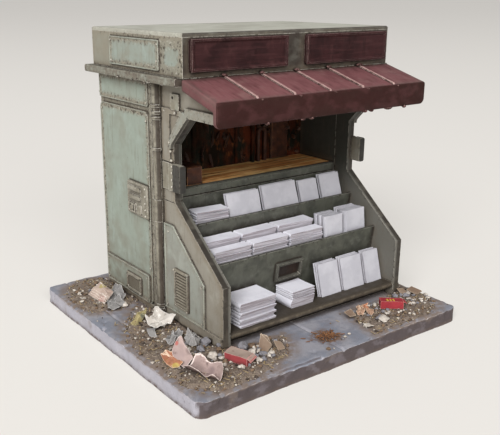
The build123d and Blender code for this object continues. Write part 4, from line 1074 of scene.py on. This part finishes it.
CARD_SCRAPS = [
    [[(-20.4, -14.7, 7.4), (-19.2, -17.0, 5.2)], [(-21.6, -15.4, 4.3), (-21.3, -18.0, 4.3)]],
    [[(-19.6, -13.4, 6.4), (-18.4, -14.4, 6.2)], [(-19.4, -15.2, 4.3), (-18.0, -15.6, 4.3)]],
    [[(-18.2, -16.4, 5.6), (-16.4, -16.8, 5.0)], [(-18.4, -18.2, 4.2), (-16.6, -18.4, 4.2)]],
    [[(28.5, -13.4, 5.2), (30.8, -13.0, 5.4)], [(29.4, -15.9, 4.5), (31.6, -15.8, 4.8)]],
    [[(26.6, -11.8, 5.4), (28.6, -12.0, 5.0)], [(26.4, -13.4, 4.4), (28.4, -13.6, 4.6)]],
    [[(6.5, -13.1, 4.6), (8.2, -13.6, 5.2)], [(6.2, -15.4, 4.3), (7.9, -15.7, 4.4)]],
]
card_scraps = bmesh.new()
for seed, corners in enumerate(CARD_SCRAPS):
    add_sheet(card_scraps, corners, seed=20 + seed, crease=0.12, thick=0.2)
set_piece("card_scraps", card_scraps, brown_card)

# Two crushed litter boxes, each dented on its broad sides and with one flap open

BOX_LENGTH, BOX_WIDTH, BOX_HEIGHT = 5.5, 2.7, 1.9
FLAP_LENGTH, FLAP_WIDTH = 0.9, 2.5


def box_place(centre, turn, tip):
    return Matrix.Translation(centre) @ turned(radians(turn), "Z") @ turned(radians(tip), "X")


def add_litter_box(shape, place, rng):
    seed = rng.uniform(0, 50)

    def box_point(u, v, h):
        x, y, z = BOX_LENGTH * (u - 0.5), BOX_WIDTH * (v - 0.5), BOX_HEIGHT * (h - 0.5)
        dent = 0.12 * wobble(x, y, z, 1.6, seed)
        dent -= 0.14 * (1 - (2 * u - 1) ** 2) * (1 - (2 * v - 1) ** 2) * (2 * h - 1)
        return place @ Vector((x + 0.05 * wobble(y, z, x, 1, seed), y, z + dent))

    add_slab(shape, 14, 8, 5, box_point)

    def flap_point(u, v, h):
        drop = 0.2 + 0.5 * u * u - 0.1 * h
        out = BOX_LENGTH / 2 + FLAP_LENGTH * u
        return place @ Vector((out, FLAP_WIDTH * (v - 0.5), BOX_HEIGHT / 2 - drop))

    add_slab(shape, 4, 2, 1, flap_point)


box_rng = Random(3)
faded_box, red_box = bmesh.new(), bmesh.new()
red_box_place = box_place((18.6, -17.0, 5.2), -38, -3)
add_litter_box(faded_box, box_place((-28.2, -17.2, 5.3), -70, 6), box_rng)
add_litter_box(red_box, red_box_place, box_rng)
set_piece("faded_litter_box", faded_box, box_card, ["litter_boxes"])
set_piece("red_litter_box", red_box, red_card, ["litter_boxes"])

# Moulded rims, vents and rivets, drawn flat and then stood on a side, the front or the back


def on_side(side, face):
    """Stands a drawing of y and z on a side wall, so many millimetres from the middle. Left is -1."""
    return Matrix(((0, 0, side, side * face), (1, 0, 0, 0), (0, 1, 0, 0), (0, 0, 0, 1)))


def on_front(depth):
    """Stands a drawing of x and z on a face that looks forwards."""
    return Matrix(((1, 0, 0, 0), (0, 0, -1, depth), (0, 1, 0, 0), (0, 0, 0, 1)))


def on_back(depth):
    """Stands a drawing of x and z on a face that looks backwards."""
    return Matrix(((-1, 0, 0, 0), (0, 0, 1, depth), (0, 1, 0, 0), (0, 0, 0, 1)))


def rectangle(left, right, low, high, radius=0.0, steps=4):
    """The corners of a rectangle, anticlockwise, rounded where a radius is given."""
    if radius == 0:
        return [(left, low), (right, low), (right, high), (left, high)]
    outline = []
    for x, y, start in ((right, low, -90), (right, high, 0), (left, high, 90), (left, low, 180)):
        middle_x = x - radius if x == right else x + radius
        middle_y = y - radius if y == high else y + radius
        for k in range(steps + 1):
            angle = radians(start + 90 * k / steps)
            outline.append((middle_x + radius * cos(angle), middle_y + radius * sin(angle)))
    return outline


def moved_in(outline, distance):
    """An anticlockwise outline with every side moved inwards by a distance."""
    moved = []
    for k, corner in enumerate(outline):
        here = Vector(corner)
        first = (here - Vector(outline[k - 1])).normalized()
        second = (Vector(outline[(k + 1) % len(outline)]) - here).normalized()
        inward = Vector((-first.y - second.y, first.x + second.x))
        moved.append(here + inward * distance / (1 + first.dot(second)))
    return moved


def add_rim(shape, place, outline, profile, filled=False):
    """A moulding along an outline. The profile says how far in and how high each of its lines runs."""
    loops = []
    for inset, height in profile:
        loops.append([shape.verts.new(place @ Vector((x, y, height))) for x, y in moved_in(outline, inset)])
    for outer, inner in zip(loops, loops[1:]):
        for k in range(len(outline)):
            after = (k + 1) % len(outline)
            shape.faces.new((outer[k], outer[after], inner[after], inner[k]))
    if filled:
        shape.faces.new(loops[-1])


def add_bar(shape, place, outline, height, edge=0.15):
    """A low block with worn edges, standing on a face."""
    add_rim(shape, place, outline, ((0, -0.02), (0.02, 0.6 * height), (edge, height)), filled=True)


# How far the faces stand from the kiosk's middle, and the back's and the signs' from the header's front
DOOR_FACE = 28.9
COVER_FACE = 29.3
FLANK_FACE = 28.2
LATCH_FACE = 28.45
HEADER_FACE = 30.35
BACK_FACE = 40.0
SIGN_FACE = -1.0
# The levels of the doors' rims and the upper doors' rims, which the back repeats
DOOR_LEVELS = (5.1, 52.1)
UPPER_LEVELS = (53.3, 59.4)
THIN_RIM = ((0, -0.02), (0.05, 0.11), (0.2, 0.12), (0.34, -0.02))
BOLD_RIM = ((0, -0.02), (0.06, 0.18), (0.26, 0.2), (0.48, -0.02))
FLANK_PANEL = [(-4.6, 6.4), (11.55, 6.4), (11.55, 27.4), (7.6, 27.4), (-4.6, 16.8)]
rims = bmesh.new()
for side in (-1, 1):
    add_rim(rims, on_side(side, DOOR_FACE), rectangle(16.3, 39.6, *DOOR_LEVELS, 1.6), THIN_RIM)
    add_rim(rims, on_side(side, DOOR_FACE), rectangle(16.3, 39.6, *UPPER_LEVELS, 0.4), THIN_RIM)
    add_rim(rims, on_side(side, COVER_FACE), rectangle(17.3, 38.7, 5.4, 12.5, 0.4), BOLD_RIM)
    add_rim(rims, on_side(side, HEADER_FACE), rectangle(8.8, 30.7, 61.9, 68.3, 0.4), THIN_RIM)
    add_rim(rims, on_side(side, FLANK_FACE), FLANK_PANEL, BOLD_RIM)
add_rim(rims, on_back(BACK_FACE), rectangle(-24.6, 24.6, *DOOR_LEVELS, 1.6), THIN_RIM)
add_rim(rims, on_back(BACK_FACE), rectangle(-24.6, 24.6, *UPPER_LEVELS, 0.4), THIN_RIM)
set_piece("worn_panel_rims", rims, sage_rim, sharp_degrees=25)

SIGN_RIM = ((0, 0), (0.1, 0.22), (0.5, 0.26), (0.95, 0.0))
sign_rims = bmesh.new()
for left, right in ((-28.5, -2.8), (2.8, 28.5)):
    add_rim(sign_rims, on_front(SIGN_FACE), rectangle(left, right, 62.2, 68.9), SIGN_RIM)
set_piece("sign_rims", sign_rims, sign_paint, sharp_degrees=20)

# Vents: a bevelled frame, a dark plate behind the slats that is the recess's painted shadow, and slats that
# shed rain
VENTS = ((FLANK_FACE, (1.3, 7.3, 8.0, 17.6), 0.85, 11), (COVER_FACE, (20.7, 28.1, 6.1, 10.8), 0.95, 8))
vent_frames, vent_shadow_backs, vent_slats = bmesh.new(), bmesh.new(), bmesh.new()
for side in (-1, 1):
    for face, (left, right, low, high), bar, slat_count in VENTS:
        place = on_side(side, face)
        outline = rectangle(left, right, low, high, 0.25, 2)
        profile = ((0, -0.02), (0.08, 0.34), (0.25, 0.5), (bar - 0.2, 0.5), (bar, 0.28), (bar + 0.02, 0.03))
        add_rim(vent_frames, place, outline, profile)
        inner = (left + bar, right - bar, low + bar, high - bar)
        add_rim(vent_shadow_backs, place, rectangle(*inner), ((-0.05, 0.03), (0.3, 0.05)), filled=True)
        pitch = (inner[3] - inner[2]) / slat_count
        for k in range(slat_count):
            foot = inner[2] + pitch * (k + 0.15)

            def slat_point(u, v, h):
                along = inner[0] + (inner[1] - inner[0]) * u
                return place @ Vector((along, foot + 0.45 * pitch * v, 0.36 - 0.26 * v + 0.1 * h))

            add_slab(vent_slats, 6, 1, 1, slat_point)
flank_vents = ["left_flank_vent", "right_flank_vent"]
door_vents = ["left_door_vent", "right_door_vent"]
set_piece("vent_frames", vent_frames, fitting_paint, flank_vents, sharp_degrees=25)
set_piece("vent_shadow_backs", vent_shadow_backs, vent_shadow_paint, sharp_degrees=25)
set_piece("vent_slats", vent_slats, slat_paint, door_vents, sharp_degrees=25)

# Rivets and small knobs: place along y and z, and the face they stand on
VENT_HEIGHT = 0.5
LOCK_HEIGHT = 0.75
RIVETS = [
    (9.4, 63.9, HEADER_FACE), (9.3, 67.4, HEADER_FACE), (29.9, 67.4, HEADER_FACE), (29.9, 62.8, HEADER_FACE),
    (40.6, 54.3, 28.4), (17.0, 54.1, DOOR_FACE), (38.9, 58.6, DOOR_FACE), (17.0, 58.6, DOOR_FACE),
    (38.9, 50.5, DOOR_FACE), (17.3, 50.0, DOOR_FACE), (17.1, 14.4, DOOR_FACE), (38.8, 14.4, DOOR_FACE),
    (9.8, 25.6, FLANK_FACE), (-3.4, 16.0, FLANK_FACE), (-3.7, 7.4, FLANK_FACE), (10.6, 7.4, FLANK_FACE),
    (7.0, 17.2, FLANK_FACE + VENT_HEIGHT), (1.7, 8.4, FLANK_FACE + VENT_HEIGHT), (37.9, 11.5, COVER_FACE),
    (38.0, 6.3, COVER_FACE), (18.1, 6.2, COVER_FACE), (18.1, 11.7, COVER_FACE),
    (21.1, 6.6, COVER_FACE + VENT_HEIGHT),
]
# What is seen on the left side only: the lock's rivets, the post's studs and the hinge's knuckles
LEFT_RIVETS = [(7.7, 46.6, 28.7), (7.8, 44.6, 28.4), (7.6, 42.5, 28.4), (5.6, 53.2, 28.5), (10.6, 53.2, 28.1)]
LEFT_RIVETS += [(7.3, z, LATCH_FACE) for z in (41.2, 39.8, 38.2, 36.6)]
LEFT_RIVETS += [(17.4, z, DOOR_FACE + LOCK_HEIGHT) for z in (34.1, 32.3, 30.6, 29.0, 27.5)]
rivet_rng = Random(12)
rivets = bmesh.new()
for side in (-1, 1):
    for y, z, face in RIVETS + (LEFT_RIVETS if side < 0 else []):
        add_lump(rivets, (side * face, y, z), (0.24, 0.3, 0.3), rivet_rng, 0.12, 2)
for x in (-23.6, 23.6):
    for z in (6.2, 51.0, 54.2, 58.5):
        add_lump(rivets, (x, BACK_FACE + 0.1, z), (0.3, 0.24, 0.3), rivet_rng, 0.12, 2)
set_piece("rivets", rivets, rivet_paint, sharp_degrees=60)

# Lock box: a bevelled cover with two pull bars, a square frame, a small block and a knob below
lock_cover = bmesh.new()
cover_profile = ((0, -0.02), (0.06, 0.5), (0.3, LOCK_HEIGHT))
cover_outline = rectangle(16.5, 26.1, 26.7, 34.9, 0.45)
add_rim(lock_cover, on_side(-1, DOOR_FACE), cover_outline, cover_profile, filled=True)
lock_face = on_side(-1, DOOR_FACE + LOCK_HEIGHT)
for low, high in ((32.7, 33.9), (30.6, 31.8)):
    add_bar(lock_cover, lock_face, rectangle(19.4, 25.1, low, high, 0.45), 0.6, 0.3)
seat_profile = ((0, -0.02), (0.1, 0.4), (0.4, 0.4), (0.6, 0.02))
add_rim(lock_cover, lock_face, rectangle(21.7, 25.1, 27.3, 29.7, 0.3), seat_profile)
add_bar(lock_cover, lock_face, rectangle(19.2, 20.9, 27.4, 29.6, 0.3), 0.35)
add_lump(lock_cover, (-29.9, 23.4, 28.5), (0.4, 0.75, 0.75), rivet_rng, 0.1, 3)
set_piece("lock_cover", lock_cover, lock_paint, ["lock_box"], sharp_degrees=25)

# The latch blocks' outer and front faces are dark and scratched, and their front faces also carry painted
# shade
LATCH_LEVELS = (35.6, 41.8)
LATCH_MIDDLE = 27.75
LATCH_HALF_WIDTH = 0.85
latch_faces = bmesh.new()
for side in (-1, 1):
    add_bar(latch_faces, on_side(side, LATCH_FACE), rectangle(4.1, 7.0, *LATCH_LEVELS, 0.5), 0.12)
    left, right = side * LATCH_MIDDLE - LATCH_HALF_WIDTH, side * LATCH_MIDDLE + LATCH_HALF_WIDTH
    add_bar(latch_faces, on_front(4.15), rectangle(left, right, *LATCH_LEVELS, 0.5), 0.12)
set_piece("latch_faces", latch_faces, latch_paint, sharp_degrees=30)

# Paint and resin drips along the gutters, and lumps under the awning's edge and at its ribs' ends
GUTTER_DRIPS = ((11.0, 1.6), (13.4, 1.1), (16.2, 2.0), (19.0, 1.2), (24.8, 1.5), (31.0, 1.0), (6.4, 1.3))
VALANCE_LUMPS = ((-7.7, 0.8), (-5.4, 0.7), (10.6, 0.8), (12.9, 0.6), (18.5, 1.5), (23.7, 1.1), (-17.5, 0.6))
drips = bmesh.new()
for side in (-1, 1):
    for y, length in GUTTER_DRIPS:
        add_lump(drips, (side * 31.0, y, 59.45), (0.42, length * 0.6, 0.34), rivet_rng, 0.4, 2)
set_piece("gutter_drips", drips, gutter_paint, sharp_degrees=60)
valance_lumps = bmesh.new()
for x, length in VALANCE_LUMPS:
    add_lump(valance_lumps, (x, -12.0, 52.4), (length, 0.45, 0.4), rivet_rng, 0.35, 2)
for x in (-20, -10, 0, 10, 20):
    add_lump(valance_lumps, (x + 0.1, -0.75, 61.15), (0.62, 0.9, 0.42), rivet_rng, 0.2, 2)
    add_lump(valance_lumps, (x + 1.0, -12.35, 57.35), (0.42, 0.22, 0.2), rivet_rng, 0.2, 2)
set_piece("awning_lumps", valance_lumps, awning_paint, sharp_degrees=60)

# Three plain yellow bars on the red box
box_label = bmesh.new()
label_place = red_box_place @ Matrix.Translation((0, 0, 0.82))
for left in (-1.2, -0.45, 0.3):
    add_bar(box_label, label_place, rectangle(left, left + 0.5, -0.7, 0.6, 0.12), 0.12, 0.05)
set_piece("box_label_bars", box_label, label_card)

# The awning's sheet, cast with soft edges at its ends and along its fold
AWNING_END = 29
awning_sheet = frame["nodes"]["awning_canopy"]
awning_skin = bmesh.new()
awning_skin.from_mesh(awning_sheet.data)
awning_skin.transform(TO_FRAME.inverted() @ awning_sheet.matrix_world)
corners, edges = awning_skin.verts, awning_skin.edges
bmesh.ops.remove_doubles(awning_skin, verts=corners[:], dist=0.001)
bmesh.ops.dissolve_limit(awning_skin, angle_limit=radians(2), verts=corners[:], edges=edges[:])
sharp = [edge for edge in edges if edge.is_manifold and edge.calc_face_angle() > radians(35)]
outer = [edge for edge in sharp if all(v.co.y < -0.5 or abs(v.co.x) > AWNING_END for v in edge.verts)]
bmesh.ops.bevel(
    awning_skin, geom=outer, offset=0.45, segments=3, profile=0.5, affect="EDGES", clamp_overlap=True
)
set_piece("soft_edged_awning", awning_skin, awning_paint, ["awning_canopy"], sharp_degrees=50)

# Price frame: four rounded bars round a stained card
PRICE_RIM = ((0, -0.05), (0.05, 0.55), (0.3, 0.85), (0.7, 0.85), (1.0, 0.5), (1.05, 0.02))
frame_place = Matrix.Translation((-2.6, -3.5, 20.2)) @ turned(radians(8.5), "X") @ on_front(0)
price_rim = bmesh.new()
add_rim(price_rim, frame_place, rectangle(-4.2, 4.2, -8.2, -3.3, 0.35, 3), PRICE_RIM)
set_piece("price_frame_bars", price_rim, display_rim, ["price_frame"], sharp_degrees=30)
price_card = bmesh.new()
add_rim(price_card, frame_place, rectangle(-3.2, 3.2, -7.2, -4.3), ((-0.1, 0.03), (0.3, 0.05)), filled=True)
set_piece("price_frame_card", price_card, interior_paint)

# The room: boards, pegs and odd goods in the dark behind the counter
ON_CABINET = ((15.6, 43.6), (17.6, 41.0), (19.4, 43.0), (16.2, 38.0), (18.8, 36.8))
BESIDE_CABINET = ((10.4, 43.6), (12.4, 43.5), (13.4, 42.0))
room_rng = Random(44)
room_boards, room_goods = bmesh.new(), bmesh.new()
for x in (-10.4, 3.2, 21.2):
    add_bar(room_boards, on_front(26.0), rectangle(x - 0.5, x + 0.5, 34.6, 58.0), 0.5, 0.2)
for _ in range(60):
    x, z = room_rng.uniform(-24.5, 6.8), room_rng.uniform(34.8, 57.0)
    radii = (room_rng.uniform(0.3, 0.9), room_rng.uniform(0.2, 0.4), room_rng.uniform(0.6, 2.6))
    wood_or_goods = room_boards if x < room_rng.uniform(-24, 4) else room_goods
    add_lump(wood_or_goods, (x, 25.9, z), radii, room_rng, 0.7, 2)
for depth, spots in ((19.6, ON_CABINET), (25.4, BESIDE_CABINET)):
    for x, z in spots:
        add_lump(room_goods, (x, depth, z), (0.7, 0.5, 0.6), room_rng, 0.5, 2)
set_piece("room_boards", room_boards, room_board_paint, sharp_degrees=30)
set_piece("room_goods", room_goods, goods_paint, sharp_degrees=30)

# Camera at the photograph's angle. Its focal length and its centre, in the photograph's pixels,
# are solved from the model's corners.
PHOTO_WIDTH = 500
FOCAL_LENGTH = 732.73
CENTRE_SHIFT_X, CENTRE_SHIFT_Y = 27.57, 3.74
LOOKS_DOWN, TURNED_RIGHT = 17.316, 35.907
camera_data = bpy.data.cameras.new("camera")
camera = bpy.data.objects.new("camera", camera_data)
bpy.context.scene.collection.objects.link(camera)
bpy.context.scene.camera = camera
camera_data.sensor_width = 36
camera_data.lens = FOCAL_LENGTH / PHOTO_WIDTH * 36
camera_data.shift_x = CENTRE_SHIFT_X / PHOTO_WIDTH
camera_data.shift_y = CENTRE_SHIFT_Y / PHOTO_WIDTH
camera_data.clip_start = 0.005
camera.location = placed((-111.65, -126.55, 77.71))
camera.rotation_euler = (radians(90 - LOOKS_DOWN), 0.0, radians(-TURNED_RIGHT))

# Soft studio light from the left, and a pale surround
bpy.context.scene.view_settings.view_transform = "Standard"
world = bpy.data.worlds.new("studio")
bpy.context.scene.world = world
world.use_nodes = True
world.node_tree.nodes["Background"].inputs["Color"].default_value = linear("f4f1ee")
world.node_tree.nodes["Background"].inputs["Strength"].default_value = 0.34


def area_light(name, watts, size, place, aim):
    """A square soft light that faces the point it is aimed at."""
    light_data = bpy.data.lights.new(name, "AREA")
    light_data.energy = watts
    light_data.size = size * MM
    light = bpy.data.objects.new(name, light_data)
    bpy.context.scene.collection.objects.link(light)
    light.location = placed(place)
    light.rotation_euler = (Vector(placed(aim)) - Vector(placed(place))).to_track_quat("-Z", "Y").to_euler()


area_light("left_softbox", 42.5, 1000, (-1420, -950, 1280), (0, 0, 30))
area_light("front_softbox", 15, 900, (-260, -1700, 900), (0, 0, 30))

floor_mesh = bpy.data.meshes.new("floor")
floor_mesh.from_pydata([(-15, -15, 0), (15, -15, 0), (15, 15, 0), (-15, 15, 0)], [], [(0, 1, 2, 3)])
floor = bpy.data.objects.new("floor", floor_mesh)
# To the camera the card is half lit of itself, so it stays pale away from the lamps and keeps the shadow
card = Finish("pale_studio_card", "e6e2dc")
card.wire(card.shader, {"Base Color": card.colour, "Roughness": 0.9})
paths = card.add("ShaderNodeLightPath").outputs
seen = {"operation": "ADD", 0: paths["Is Camera Ray"], 1: paths["Is Glossy Ray"]}
seen = {"operation": "ADD", 0: card.add("ShaderNodeMath", seen).outputs[0], 1: paths["Is Transmission Ray"]}
seen = card.add("ShaderNodeMath", seen).outputs[0]
glow = card.add("ShaderNodeEmission", {"Color": linear("f2efea"), "Strength": 1.0}).outputs[0]
mix = {0: card.where_all(seen, 0.5), 1: card.shader.outputs[0], 2: glow}
blend = card.add("ShaderNodeMixShader", mix).outputs[0]
card.wire(card.tree.nodes["Material Output"], {"Surface": blend})
floor_mesh.materials.append(card.material)
bpy.context.scene.collection.objects.link(floor)
